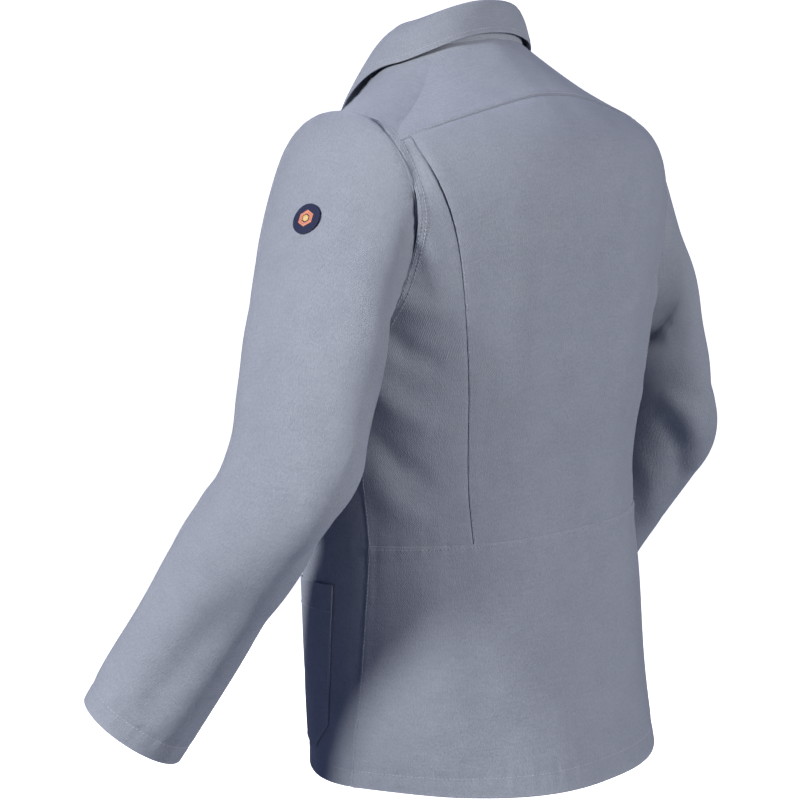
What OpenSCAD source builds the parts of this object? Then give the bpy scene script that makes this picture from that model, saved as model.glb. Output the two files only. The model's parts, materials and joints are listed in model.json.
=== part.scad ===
// Welder's protective jacket in cotton twill, standing as if worn, arms slightly bent.
// The origin is the centre of the neck base. The front faces -Y, the wearer's left is +X, up is +Z.

/* [Body] */
// Width across the chest, seam to seam
chest_w = 480; // [450:5:510]
// Depth from breast to shoulder blades
chest_d = 290; // [270:5:310]
// Length from the neck seam to the hem at the back
back_length = 709; // [670:5:760]
// Overlap of the front edges past the centre line
front_lap = 18; // [14:1:22]

/* [Cloth] */
// Thickness of one ply of cloth
ply = 1.6; // [1.2:0.1:2]
// Clear space between two plies that lie on each other
ply_gap = 0.9; // [0.8:0.1:1.2]
// Clear space left at every seam between two panels
seam_gap = 1.4; // [1:0.1:2]

/* [Collar] */
// Height of the stand at the back of the neck
stand_back = 36; // [30:1:42]
// Height of the stand at the throat
stand_front = 14; // [10:1:20]
// Drop of the turned-down fall at the back
fall_back = 29; // [24:1:32]
// Drop of the fall at the collar points
fall_front = 45; // [38:1:52]

/* [Pockets] */
// Height of the chest pocket flap
flap_drop = 0.5; // [0.4:0.05:0.6]

/* [Badge] */
// Outer diameter of the woven badge with its border
badge_d = 36; // [30:1:40]

/* [Snaps] */
// Diameter of a snap fastener
snap_d = 12; // [10:0.5:14]
// Number of snaps down the front
snap_count = 6; // [4:1:7]

/* [Hidden] */

cloth_colour = [0.55, 0.57, 0.62];
shade_colour = [0.42, 0.44, 0.52];
badge_colour = [0.11, 0.12, 0.22];
thread_colour = [0.86, 0.86, 0.88];
emblem_colour = [0.80, 0.50, 0.36];
metal_colour = [0.62, 0.63, 0.65];

// Nominal sizes that the section tables below were drawn at
nominal_w = 480;
nominal_d = 290;
nominal_length = 709;
size_factor = [chest_w / nominal_w, chest_d / nominal_d, back_length / nominal_length];

// Torso sections from hem (0) to neck (9):
// half width, depth to the front, depth to the back, height at the side, front and back, middle y
torso_sections = [
    [186, 153, 155, -706, -704, -717, 2],
    [200, 138, 132, -635, -635, -635, 2],
    [204, 122, 131, -532, -538, -534, 2],
    [208, 128, 114, -428, -440, -436, 2],
    [224, 140, 138, -341, -342, -343, 2],
    [238, 146, 146, -245, -258, -243, 4],
    [247, 134, 160, -165, -192, -154, 6],
    [244, 113, 143, -96, -128, -95, 8],
    [150, 100, 92, -74, -108, -56, 8],
    [78, 92, 47, -16, -112, -8, 2]
];
neck_level = 9;
front_roundness = 2.2;
back_roundness = 2.3;

// Sleeve sections from armhole (0) to cuff (9):
// inner edge x and z, outer edge x and z, middle y, half depth, forward tilt in degrees
sleeve_sections = [
    [246, -284, 206, -84, 2, 90, 0],
    [255, -306, 216, -65, 11, 84, 6],
    [249, -321, 240, -124, 24, 77, 6],
    [240, -329, 293, -212, 24, 74, 1],
    [244, -345, 332, -315, 31, 67, 1],
    [265, -392, 362, -404, 32, 66, 12],
    [285, -454, 381, -473, -20, 58, 34],
    [290, -536, 374, -514, -63, 51, 34],
    [300, -600, 388, -572, -107, 51, 34],
    [310, -646, 405, -613, -130, 47, 36]
];

// Seam lines on the torso, as levels (0 hem, 9 neck) and angles (0 side, 90 back, -90 front)
waist_level = 2.58;
yoke_level_back = 7.8;
yoke_droop = 0.85;
yoke_droop_span = 63.5;
yoke_droop_power = 1.8;
shoulder_seam_angle = -22;
side_seam_hem = -5;
side_seam_slope = 6;
side_seam_top = 10.5;
pleat_first_level = 2;
pleat_angles = [52, 51.5, 50.8, 50, 45, 36, 24];

// Armhole: an ellipse in level and angle
armhole_level = 6.0;
armhole_half = 1.6;
armhole_back = 35;
armhole_front = 47;
armhole_fade = 2.2;

// Bands beside the armhole and the side seam that stay with the body when a front opens
front_side_band = 4.5;
front_fold_band = 3.5;

// Plies at the front opening
facing_out = -ply - ply_gap;
snap_ply = 1.7;
snap_clear = 0.8;
snap_parting = 0.4;
socket_out = facing_out - ply - snap_clear;
stud_out = socket_out - snap_ply - snap_parting;
lap_drop = -(stud_out - snap_ply) + ply_gap;
lap_start = 34;
lap_end = 14;
facing_w = 55;
fly_w = 26;

level_mm = 85;
turn_mm = 3.6;
level_gap = seam_gap / level_mm;
turn_gap = seam_gap / turn_mm;

// ---- Curves and surfaces ----

function key(k, i) =
    i < 0 ? 2 * k[0] - k[1] :
    i >= len(k) ? 2 * k[len(k) - 1] - k[len(k) - 2] :
    k[i];

// Uniform cubic B-spline through a list of numbers or rows
function spline(k, v) =
    let (u = min(max(v, 0), len(k) - 1.000001), i = floor(u), f = u - i)
    ((1 - f) ^ 3 * key(k, i - 1)
        + (3 * f ^ 3 - 6 * f ^ 2 + 4) * key(k, i)
        + (1 + 3 * f + 3 * f ^ 2 - 3 * f ^ 3) * key(k, i + 1)
        + f ^ 3 * key(k, i + 2)) / 6;

function mix(a, b, s) = a + (b - a) * s;
function ease(s) = let (c = min(max(s, 0), 1)) c * c * (3 - 2 * c);
function unit(p) = p / norm(p);
function signed_pow(x, p) = sign(x) * abs(x) ^ p;
function scaled(p) = [p.x * size_factor.x, p.y * size_factor.y, p.z * size_factor.z];

// Point of the torso surface at angle t and level v
function torso(t, v) =
    let (
        k = spline(torso_sections, v),
        c = cos(t),
        s = sin(t),
        behind = s >= 0,
        n = 2 / (behind ? back_roundness : front_roundness),
        depth = behind ? k[2] : k[1],
        height = behind ? k[5] : k[4]
    )
    scaled([
        k[0] * signed_pow(c, n),
        k[6] + depth * signed_pow(s, n),
        mix(k[3], height, s * s)
    ]);

function torso_normal(t, v) =
    let (
        dt = torso(t + 0.6, v) - torso(t - 0.6, v),
        dv = torso(t, min(v + 0.02, neck_level)) - torso(t, max(v - 0.02, 0))
    )
    unit(cross(dt, dv));

// Point of the torso surface moved out along the surface normal by d
function torso_at(t, v, d) = torso(t, v) + torso_normal(t, v) * d;

// Point of the armhole seam, psi 0 at the shoulder, 90 behind, 180 under the arm
function armhole(psi) =
    let (t = (sin(psi) >= 0 ? armhole_back : armhole_front) * sin(psi))
    torso(t, armhole_level + armhole_half * cos(psi));

function sleeve_oval(k, phi) =
    scaled([
        (k[0] + k[2]) / 2 + cos(phi) * (k[2] - k[0]) / 2,
        k[4] + k[5] * sin(phi) * cos(k[6]),
        (k[1] + k[3]) / 2 + cos(phi) * (k[3] - k[1]) / 2 - k[5] * sin(phi) * sin(k[6])
    ]);

// Point of the sleeve surface: it starts on the armhole seam and settles into the ovals
function sleeve(phi, v) =
    sleeve_oval(spline(sleeve_sections, v), phi)
        + (armhole(phi) - sleeve_oval(sleeve_sections[0], phi)) * ease(1 - v / armhole_fade);

function sleeve_at(phi, v, d) =
    let (
        dp = sleeve(phi + 1, v) - sleeve(phi - 1, v),
        dv = sleeve(phi, min(v + 0.03, 9)) - sleeve(phi, max(v - 0.03, 0))
    )
    sleeve(phi, v) + unit(cross(dv, dp)) * d;

// ---- Solids from surfaces ----

// A closed sheet between offsets inner and outer of the surface f(u, w, offset)
module sheet(f, nu, nw, inner, outer) {
    row = nw + 1;
    count = (nu + 1) * row;
    outside = [for (i = [0 : nu]) for (j = [0 : nw]) f(i / nu, j / nw, outer)];
    inside = [for (i = [0 : nu]) for (j = [0 : nw]) f(i / nu, j / nw, inner)];
    walls = concat(
        [for (i = [0 : nu - 1]) for (j = [0 : nw - 1])
            let (a = i * row + j, b = a + row) [a, a + 1, b + 1, b]],
        [for (i = [0 : nu - 1]) for (j = [0 : nw - 1])
            let (a = count + i * row + j, b = a + row) [a, b, b + 1, a + 1]]
    );
    ends = concat(
        [for (i = [0 : nu - 1]) let (a = i * row, b = a + row) [a, b, b + count, a + count]],
        [for (i = [0 : nu - 1]) let (a = i * row + nw, b = a + row) [a, a + count, b + count, b]],
        [for (j = [0 : nw - 1]) [j, j + count, j + 1 + count, j + 1]],
        [for (j = [0 : nw - 1])
            let (a = nu * row + j) [a, a + 1, a + 1 + count, a + count]]
    );
    polyhedron(concat(outside, inside), concat(walls, ends), convexity = 6);
}

// A closed tube: the same, with w going once round
module sleeve_tube(v0, v1, rings, sides, inner, outer) {
    count = (rings + 1) * sides;
    outside = [for (i = [0 : rings]) for (j = [0 : sides - 1])
        sleeve_at(360 * j / sides, mix(v0, v1, i / rings), outer)];
    inside = [for (i = [0 : rings]) for (j = [0 : sides - 1])
        sleeve_at(360 * j / sides, mix(v0, v1, i / rings), inner)];
    walls = [for (i = [0 : rings - 1]) for (j = [0 : sides - 1])
        let (a = i * sides + j, b = i * sides + (j + 1) % sides)
        [a, b, b + sides, a + sides]];
    lining = [for (q = walls) [q[0] + count, q[3] + count, q[2] + count, q[1] + count]];
    last = rings * sides;
    mouths = concat(
        [for (j = [0 : sides - 1]) let (a = j, b = (j + 1) % sides) [a, a + count, b + count, b]],
        [for (j = [0 : sides - 1])
            let (a = last + j, b = last + (j + 1) % sides) [a, b, b + count, a + count]]
    );
    polyhedron(concat(outside, inside), concat(walls, lining, mouths), convexity = 6);
}

// side 1 is the wearer's left, -1 the wearer's right
module on_side(side) {
    if (side > 0) children();
    else mirror([1, 0, 0]) children();
}

// ---- Seam lines ----

function yoke_level(t) =
    yoke_level_back - yoke_droop * (abs(90 - t) / yoke_droop_span) ^ yoke_droop_power;
function side_seam(v) = min(side_seam_hem + side_seam_slope * v, side_seam_top);
function pleat_line(v) = spline(pleat_angles, v - pleat_first_level);
function armhole_top(t) =
    let (r = t / (t >= 0 ? armhole_back : -armhole_front))
    abs(r) >= 1 ? 0 : armhole_level + armhole_half * sqrt(1 - r * r);

// The armhole seam as [angle, level], psi as in armhole()
function armhole_line(psi) = [
    (sin(psi) >= 0 ? armhole_back : armhole_front) * sin(psi),
    armhole_level + armhole_half * cos(psi)
];

// Moves a domain point [angle, level] out of the armhole by the seam gap
function clear_armhole(p, psi) = p + [sin(psi) * turn_gap, cos(psi) * level_gap];

// Where the side seam and the yoke seam meet the armhole
psi_side = 180 - asin(side_seam_top / armhole_back);
psi_yoke = 52.5;

// Below this angle the yoke's lower edge follows the armhole alone
yoke_flat_angle = 20;

// ---- Back ----

module back_yoke() {
    start = shoulder_seam_angle;
    color(cloth_colour)
    sheet(
        function (u, w, d)
            let (
                t = mix(start, 180 - start, u),
                side_t = min(t, 180 - t),
                low = max(yoke_level(max(side_t, yoke_flat_angle)), armhole_top(side_t)) + level_gap
            )
            torso_at(t, mix(low, neck_level - level_gap, w), d),
        44, 5, -ply, 0
    );
}

// Angle and level where the pleat line meets the yoke seam
pleat_top_angle = 35.5;
pleat_top_level = yoke_level(pleat_top_angle);

module back_centre_panel() {
    color(cloth_colour)
    sheet(
        function (u, w, d)
            let (
                v = mix(waist_level + level_gap, pleat_top_level - level_gap, w),
                edge = pleat_line(v) + turn_gap,
                crown = yoke_level(mix(pleat_top_angle, 180 - pleat_top_angle, u)) - pleat_top_level
            )
            torso_at(mix(edge, 180 - edge, u), v + crown * w, d),
        14, 16, -ply, 0
    );
}

// Outer edge of the side panel: up the side seam for this share of its rows, then up the armhole.
// Over its last rows it also keeps clear of the yoke.
seam_share = 0.4;
corner_share = 0.8;
function side_panel_edge(w) =
    w < seam_share
        ? let (s = w / seam_share, v = mix(waist_level + level_gap, armhole_line(psi_side).y, s))
            [side_seam(v) + turn_gap, v - level_gap * s]
        : let (
            psi = mix(psi_side, psi_yoke, (w - seam_share) / (1 - seam_share)),
            near_yoke = ease((w - corner_share) / (1 - corner_share))
        )
            clear_armhole(armhole_line(psi), psi) - [0, 2 * level_gap * near_yoke];

module back_side_panel(side) {
    top = pleat_top_level - level_gap;
    color(cloth_colour)
    on_side(side)
    sheet(
        function (u, w, d)
            let (
                edge = side_panel_edge(w),
                v = mix(waist_level + level_gap, top, w),
                fold = [pleat_line(v) - turn_gap, v],
                p = mix(edge, fold, u)
            )
            torso_at(p.x, p.y, d),
        5, 20, -ply, 0
    );
}

// Cloth folded inside the action pleat: how far it reaches to each side of the pleat line, in degrees,
// how far above the waist it starts and the level where it ends
underlay_inner = 3;
underlay_outer = 8;
underlay_rise = 0.3;
underlay_top = 6.7;
module pleat_underlay(side) {
    depth = -ply - 2 * ply_gap;
    color(shade_colour)
    on_side(side)
    sheet(
        function (u, w, d)
            let (v = mix(waist_level + underlay_rise, underlay_top, w))
            torso_at(pleat_line(v) + mix(-underlay_outer, underlay_inner, u), v, d),
        3, 12, depth - ply, depth
    );
}

module back_skirt() {
    color(cloth_colour)
    sheet(
        function (u, w, d)
            let (v = mix(0, waist_level - level_gap, w), edge = side_seam(v) + turn_gap)
            torso_at(mix(edge, 180 - edge, u), v, d),
        22, 7, -ply, 0
    );
}

// ---- Collar ----

// 1 at the back of the neck, 0 at the throat
function nape(t) = (1 + sin(t)) / 2;
function neck_out(t) = let (p = torso(t, neck_level)) unit([p.x, p.y - 5, 0]);
function stand_height(t) = mix(stand_front, stand_back, nape(t));
stand_lean = 0.15;
fall_out_back = 6;
fall_out_front = 40;
fall_bow = 0.6;

function stand_at(t, s, d) =
    torso(t, neck_level)
        + [0, 0, 1] * stand_height(t) * s
        + neck_out(t) * (d - stand_lean * stand_height(t) * s);

// Extra reach of the fall at the collar points: the angle where it starts, its drop and its way out
tip_angle = -35;
tip_drop = 20;
tip_out = 4;

function fall_at(t, s, d) =
    let (
        tip = ease((tip_angle - t) / (tip_angle - collar_end)),
        drop = mix(fall_front, fall_back, nape(t)) + tip_drop * tip,
        out = mix(fall_out_front, fall_out_back, nape(t)) + tip_out * tip
    )
    stand_at(t, 1, d)
        + neck_out(t) * out * s ^ fall_bow
        - [0, 0, 1] * drop * s;

// Angle where the moving front end of the collar begins, and where the collar ends at the throat
collar_start = -20;
collar_split = 2;
collar_end = -87;
collar_spread = 15;
fall_clear = ply_gap + 0.4;
fall_top = 0.02;
stand_foot = 0.12;

module collar_stand() {
    color(cloth_colour)
    sheet(
        function (u, w, d)
            stand_at(mix(collar_start, 180 - collar_start, u), mix(stand_foot, 1, w), d),
        30, 2, -ply, 0
    );
}

module collar_fall() {
    color(cloth_colour)
    sheet(
        function (u, w, d)
            fall_at(mix(180 - collar_start, collar_start, u), mix(fall_top, 1, w), d),
        30, 4, fall_clear, fall_clear + ply
    );
}

// Front end of the collar, stand and fall, that moves with a front
module collar_point(side) {
    color(cloth_colour)
    on_side(side) {
        sheet(
            function (u, w, d)
                stand_at(mix(collar_end, collar_start - collar_split, u), mix(stand_foot, 1, w), d),
            9, 2, -ply, 0
        );
        sheet(
            function (u, w, d)
                let (s = mix(fall_top, 1, w))
                fall_at(mix(collar_start - collar_split, collar_end + collar_spread * s, u), s, d),
            9, 4, fall_clear, fall_clear + ply
        );
    }
}

// Tape that covers the neck seam inside, and the blank label below it: levels below the neck seam
trim_ply = 1;
tape_high = 0.05;
tape_low = 0.3;
label_high = 0.36;
label_low = 0.85;
label_half_angle = 18;

module neck_tape() {
    depth = -ply - ply_gap;
    color(shade_colour)
    sheet(
        function (u, w, d)
            torso_at(mix(0, 180, u), neck_level - mix(tape_low, tape_high, w), d),
        24, 1, depth - trim_ply, depth
    );
}

module neck_label() {
    depth = -ply - ply_gap;
    color(thread_colour)
    sheet(
        function (u, w, d)
            torso_at(
                90 + label_half_angle * (2 * u - 1),
                neck_level - mix(label_low, label_high, w),
                d
            ),
        6, 3, depth - trim_ply, depth
    );
}

loop_x = 26;
loop_y = 41;
loop_z = -4;
loop_band = 4;
loop_ply = 2;
module hanger_loop() {
    color(shade_colour)
    translate([0, loop_y, loop_z])
    rotate([90, 0, 0])
    linear_extrude(loop_ply)
    difference() {
        circle(loop_x + loop_band / 2, $fn = 48);
        circle(loop_x - loop_band / 2, $fn = 48);
        translate([-2 * loop_x, 0])
            square([4 * loop_x, 2 * loop_x]);
    }
}

// ---- Fronts ----

// Levels of the rows of a front: below the armhole, along it, and above it to the neck
armpit_level = armhole_level - armhole_half;
shoulder_turn = 180 - asin(-shoulder_seam_angle / armhole_front);
armhole_turn = 8;
rows_below = 14;
rows_beside = 12;
rows_above = 6;
armpit_clear = 0.03;
front_rows = concat(
    [for (i = [0 : rows_below]) mix(0, armpit_level - armpit_clear, i / rows_below)],
    [for (i = [0 : rows_beside])
        armhole_level - armhole_half * cos(mix(armhole_turn, shoulder_turn, i / rows_beside))],
    [for (i = [1 : rows_above])
        mix(armhole_level - armhole_half * cos(shoulder_turn), neck_level - level_gap, i / rows_above)]
);
front_nw = len(front_rows) - 1;
function front_row(w) = front_rows[round(w * front_nw)];

// Angle of the front edge of the armhole, and of the shoulder seam above it
function armhole_front_angle(v) =
    let (r = (v - armhole_level) / armhole_half)
    abs(r) < 1 ? min(-armhole_front * sqrt(1 - r * r), v > armhole_level ? shoulder_seam_angle : 0)
        : shoulder_seam_angle;

// Outer edge of a front: the side seam, the armhole and the shoulder seam
function front_edge(v) =
    (v < armpit_level ? side_seam(v) : armhole_front_angle(v)) - turn_gap;

// The line where a front bends when it opens: it passes below the armhole
fold_turn_start = 3.6;
fold_turn_end = 4.9;
function fold_line(v, band) =
    mix(
        side_seam(v),
        armhole_front_angle(max(v, fold_turn_end)),
        ease((v - fold_turn_start) / (fold_turn_end - fold_turn_start))
    ) - band;

// Angle at which the front lies x from the centre line
function centre_angle(v, x) =
    let (half = spline(torso_sections, v)[0])
    -90 + sign(x) * asin((abs(x) / half) ^ (front_roundness / 2));

// Point of a front, moved out by d: the under front drops behind the upper one near the centre line.
// Above the calm level the surface curls in to the neck, so the drop keeps that level's direction.
calm_level = 7.6;
function front_at(t, v, d, under) =
    let (drop = under ? lap_drop * ease((lap_start - torso(t, v).x) / (lap_start - lap_end)) : 0)
    torso_at(t, v, d) - torso_normal(t, min(v, calm_level)) * drop;

module front_side(side) {
    color(cloth_colour)
    on_side(side)
    sheet(
        function (u, w, d)
            let (v = front_row(w))
            torso_at(mix(fold_line(v, front_side_band), front_edge(v), u), v, d),
        4, front_nw, -ply, 0
    );
}

module front_fold(side) {
    inner_band = front_side_band + front_fold_band - turn_gap;
    color(cloth_colour)
    on_side(side)
    sheet(
        function (u, w, d)
            let (
                v = front_row(w),
                t = mix(fold_line(v, inner_band), fold_line(v, front_side_band + turn_gap), u)
            )
            torso_at(t, v, d),
        1, front_nw, -ply, 0
    );
}

// Distances of the first columns of a front from the centre line: its panel and facing share them
lap_columns = [-front_lap, -9, 0, 9, lap_end, 19, 24, 29, lap_start, 44, facing_w];
last_lap_column = len(lap_columns) - 1;
panel_columns = 20;

module front_panel(side) {
    inner_band = front_side_band + front_fold_band;
    under = side < 0;
    color(cloth_colour)
    on_side(side)
    sheet(
        function (u, w, d)
            let (
                v = front_row(w),
                i = round(u * panel_columns),
                past = (i - last_lap_column) / (panel_columns - last_lap_column),
                t = i < last_lap_column
                    ? centre_angle(v, lap_columns[i])
                    : mix(centre_angle(v, facing_w), fold_line(v, inner_band), past)
            )
            front_at(t, v, d, under),
        panel_columns, front_nw, -ply, 0
    );
}

// A strip of a front with columns at these distances from the centre line
module front_strip(v0, v1, columns, nw, inner, outer, under) {
    nu = len(columns) - 1;
    sheet(
        function (u, w, d)
            let (v = mix(v0, v1, w))
            front_at(centre_angle(v, columns[round(u * nu)]), v, d, under),
        nu, nw, inner, outer
    );
}

// Levels of the strips' ends: above the hem, and below the neck seam
strip_low = 0.05;
facing_top = 0.8;
fly_top = 0.6;
fly_edge = 1;
fly_columns = [-front_lap - fly_edge, -8, 3, 15, fly_w];

module front_facing(side) {
    color(shade_colour)
    on_side(side)
    front_strip(strip_low, neck_level - facing_top, lap_columns, 34,
        facing_out - ply, facing_out, side < 0);
}

module fly_cover() {
    color(cloth_colour)
    front_strip(strip_low, neck_level - fly_top, fly_columns, 36,
        ply_gap, ply_gap + ply, false);
}

snap_low = 0.7;
snap_high = 7.5;
function snap_level(i) = mix(snap_low, snap_high, i / (snap_count - 1));

// Places a child on the centre line of the front, its axis along the outward normal
module on_centre_front(v, depth) {
    at = torso_at(-90, v, depth);
    out = torso_at(-90, v, depth + 1) - at;
    translate(at)
        rotate([90 - atan2(out.z, -out.y), 0, 0])
            children();
}

module fly_snap_sockets() {
    color(metal_colour)
    for (i = [0 : snap_count - 1])
        on_centre_front(snap_level(i), socket_out - snap_ply)
            difference() {
                cylinder(snap_ply, d = snap_d, $fn = 32);
                translate([0, 0, -1])
                    cylinder(snap_ply, d = snap_d / 3, $fn = 24);
            }
}

module fly_snap_studs() {
    color(metal_colour)
    for (i = [0 : snap_count - 1])
        on_centre_front(snap_level(i), stud_out - snap_ply)
            cylinder(snap_ply, d = snap_d, $fn = 32);
}

// ---- Pockets ----

chest_pocket_in = -82;
chest_pocket_out = -60;
chest_pocket_low = 4.85;
chest_pocket_high = 6.15;
flap_top = 6.45;
flap_overhang = 0.8;
pocket_out = ply_gap;
flap_out = pocket_out + ply + ply_gap;

module chest_pocket(side) {
    color(cloth_colour)
    on_side(side)
    sheet(
        function (u, w, d)
            torso_at(
                mix(chest_pocket_in, chest_pocket_out, u),
                mix(chest_pocket_low, chest_pocket_high, w),
                d
            ),
        7, 7, pocket_out, pocket_out + ply
    );
}

module chest_flap(side) {
    color(cloth_colour)
    on_side(side)
    sheet(
        function (u, w, d)
            torso_at(
                mix(chest_pocket_in - flap_overhang, chest_pocket_out + flap_overhang, u),
                mix(flap_top - flap_drop, flap_top, w),
                d
            ),
        7, 3, flap_out, flap_out + ply
    );
}

// Snap caps on the flap: their height, their places across the pocket and down the flap as shares
flap_snap_h = 1.4;
flap_snap_clear = 0.4;
flap_snap_across = [0.2, 0.8];
flap_snap_down = 0.7;
module flap_snap_caps(side) {
    level = flap_top - flap_drop * flap_snap_down;
    depth = flap_out + ply + flap_snap_clear;
    color(metal_colour)
    on_side(side)
    for (share = flap_snap_across) {
        t = mix(chest_pocket_in, chest_pocket_out, share);
        base = torso_at(t, level, depth);
        out = torso_at(t, level, depth + 1) - base;
        translate(base)
            rotate([0, acos(out.z), atan2(out.y, out.x)])
                cylinder(flap_snap_h, d = snap_d - 2, $fn = 32);
    }
}

// Patch pocket: its back edge slants forward and its lower back corner is cut off
lower_pocket_front = -65;
lower_pocket_low = 0.43;
lower_pocket_high = 2.2;
bevel_height = 0.35;
bevel_angle = -24;
bevel_share = 0.15;
pocket_back_low = -12.5;
pocket_back_high = -5.5;
function lower_pocket_back(w) =
    w < bevel_share
        ? mix([bevel_angle, lower_pocket_low], [pocket_back_low, lower_pocket_low + bevel_height],
            w / bevel_share)
        : mix([pocket_back_low, lower_pocket_low + bevel_height], [pocket_back_high, lower_pocket_high],
            (w - bevel_share) / (1 - bevel_share));

module lower_pocket(side) {
    color(cloth_colour)
    on_side(side)
    sheet(
        function (u, w, d)
            let (
                front = [lower_pocket_front, mix(lower_pocket_low, lower_pocket_high, w)],
                p = mix(front, lower_pocket_back(w), u)
            )
            torso_at(p.x, p.y, d),
        12, 20, pocket_out, pocket_out + ply
    );
}

// ---- Sleeves ----

sleeve_sides = 24;
head_start = 0.3;
bend_start = 3.3;
upper_start = 4.7;
elbow_start = 5.3;
forearm_start = 6.8;
sleeve_gap = 0.02;

module sleeve_part(side, v0, v1, rings) {
    color(cloth_colour)
    on_side(side)
    sleeve_tube(v0, v1, rings, sleeve_sides, -ply, 0);
}

module sleeve_head(side) {
    sleeve_part(side, head_start, bend_start - sleeve_gap, 8);
}

module sleeve_bend(side) {
    sleeve_part(side, bend_start + sleeve_gap, upper_start - sleeve_gap, 3);
}

module upper_sleeve(side) {
    sleeve_part(side, upper_start + sleeve_gap, elbow_start - sleeve_gap, 2);
}

module elbow(side) {
    sleeve_part(side, elbow_start + sleeve_gap, forearm_start - sleeve_gap, 4);
}

module forearm(side) {
    sleeve_part(side, forearm_start + sleeve_gap, 9, 5);
}

// ---- Badge on the left sleeve ----

badge_level = 2.5;
badge_clear = 2;
badge_ply = 1.2;
border_w = 1.7;
border_clear = 0.1;
emblem_h = 0.8;
emblem_clear = 0.05;

// Turns and moves a child so that its Z axis is the sleeve's outward normal at the badge
module on_badge(lift) {
    at = sleeve_at(0, badge_level, badge_clear + lift);
    out = sleeve_at(0, badge_level, badge_clear + lift + 1) - at;
    translate(at)
        rotate([0, acos(out.z), atan2(out.y, out.x)])
            children();
}

module badge_disc() {
    color(badge_colour)
    on_badge(0)
        cylinder(badge_ply, d = badge_d - 2 * (border_w + border_clear), $fn = 64);
}

module badge_border() {
    color(thread_colour)
    on_badge(0)
    rotate_extrude($fn = 64)
        translate([(badge_d - border_w) / 2, border_w / 2])
            circle(d = border_w, $fn = 16);
}

// A plain hexagonal ring round a smaller hexagon
emblem_shares = [0.48, 0.26, 0.2];
module badge_emblem() {
    color(emblem_colour)
    on_badge(badge_ply + emblem_clear)
    linear_extrude(emblem_h) {
        difference() {
            circle(d = badge_d * emblem_shares[0], $fn = 6);
            circle(d = badge_d * emblem_shares[1], $fn = 6);
        }
        circle(d = badge_d * emblem_shares[2], $fn = 6);
    }
}

back_yoke();
back_centre_panel();
back_side_panel(1);  // back_side_panel_left
back_side_panel(-1);  // back_side_panel_right
pleat_underlay(1);  // pleat_underlay_left
pleat_underlay(-1);  // pleat_underlay_right
back_skirt();
collar_stand();
collar_fall();
collar_point(1);  // collar_point_left
collar_point(-1);  // collar_point_right
neck_tape();
neck_label();
hanger_loop();
front_side(1);  // front_side_left
front_side(-1);  // front_side_right
front_fold(1);  // front_fold_left
front_fold(-1);  // front_fold_right
front_panel(1);  // front_panel_left
front_panel(-1);  // front_panel_right
front_facing(1);  // front_facing_left
front_facing(-1);  // front_facing_right
fly_cover();
fly_snap_sockets();
fly_snap_studs();
chest_pocket(1);  // chest_pocket_left
chest_pocket(-1);  // chest_pocket_right
chest_flap(1);  // chest_flap_left
chest_flap(-1);  // chest_flap_right
flap_snap_caps(1);  // flap_snap_caps_left
flap_snap_caps(-1);  // flap_snap_caps_right
lower_pocket(1);  // lower_pocket_left
lower_pocket(-1);  // lower_pocket_right
sleeve_head(1);  // sleeve_head_left
sleeve_head(-1);  // sleeve_head_right
sleeve_bend(1);  // sleeve_bend_left
sleeve_bend(-1);  // sleeve_bend_right
upper_sleeve(1);  // upper_sleeve_left
upper_sleeve(-1);  // upper_sleeve_right
elbow(1);  // elbow_left
elbow(-1);  // elbow_right
forearm(1);  // forearm_left
forearm(-1);  // forearm_right
badge_disc();
badge_border();
badge_emblem();
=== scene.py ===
"""The looks of the welder's twill jacket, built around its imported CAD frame.

Every panel is a curved sheet of cloth over the same torso and sleeve surfaces as the CAD source:
(t, v) on the torso, with t the angle round the body (0 at the wearer's left side, 90 behind,
-90 in front) and v the level (0 at the hem, 9 at the neck); (phi, v) on a sleeve, with phi 0 on the
outside, 90 behind, 180 under the arm, and v 0 at the armhole, 9 at the cuff.
"""

import json
import math
from functools import partial

import bpy
import numpy as np
from mathutils import Matrix, Vector


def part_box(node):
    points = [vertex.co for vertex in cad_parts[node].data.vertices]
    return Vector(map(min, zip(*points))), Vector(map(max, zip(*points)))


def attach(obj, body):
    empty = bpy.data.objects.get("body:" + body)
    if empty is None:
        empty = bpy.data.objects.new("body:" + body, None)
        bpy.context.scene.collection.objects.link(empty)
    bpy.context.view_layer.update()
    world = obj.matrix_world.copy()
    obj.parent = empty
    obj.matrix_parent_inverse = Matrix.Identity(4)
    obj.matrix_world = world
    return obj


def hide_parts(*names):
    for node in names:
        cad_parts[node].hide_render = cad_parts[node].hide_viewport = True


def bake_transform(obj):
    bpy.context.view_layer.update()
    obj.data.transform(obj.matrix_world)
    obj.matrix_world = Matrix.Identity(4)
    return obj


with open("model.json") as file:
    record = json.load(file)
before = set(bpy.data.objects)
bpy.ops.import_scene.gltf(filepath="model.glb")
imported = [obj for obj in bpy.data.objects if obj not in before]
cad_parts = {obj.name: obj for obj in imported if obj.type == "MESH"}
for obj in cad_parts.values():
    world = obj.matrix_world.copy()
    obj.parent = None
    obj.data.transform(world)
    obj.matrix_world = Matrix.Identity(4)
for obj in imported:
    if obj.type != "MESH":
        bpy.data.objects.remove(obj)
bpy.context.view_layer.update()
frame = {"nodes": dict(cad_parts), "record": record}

MM = 0.001
LEFT, RIGHT = 1, -1
SIDE_NAMES = {LEFT: "left", RIGHT: "right"}

# ---------------------------------------------------------------- sections, as in the CAD source
# half width, depth in front, depth behind, height at the side, in front, behind, middle y (mm)
TORSO = np.array([
    [186, 153, 155, -706, -704, -717, 2],
    [200, 138, 132, -635, -635, -635, 2],
    [204, 122, 131, -532, -538, -534, 2],
    [208, 128, 114, -428, -440, -436, 2],
    [224, 140, 138, -341, -342, -343, 2],
    [238, 146, 146, -245, -258, -243, 4],
    [247, 134, 160, -165, -192, -154, 6],
    [244, 113, 143, -96, -128, -95, 8],
    [150, 100, 92, -74, -108, -56, 8],
    [78, 92, 47, -16, -112, -8, 2],
], float)
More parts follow.
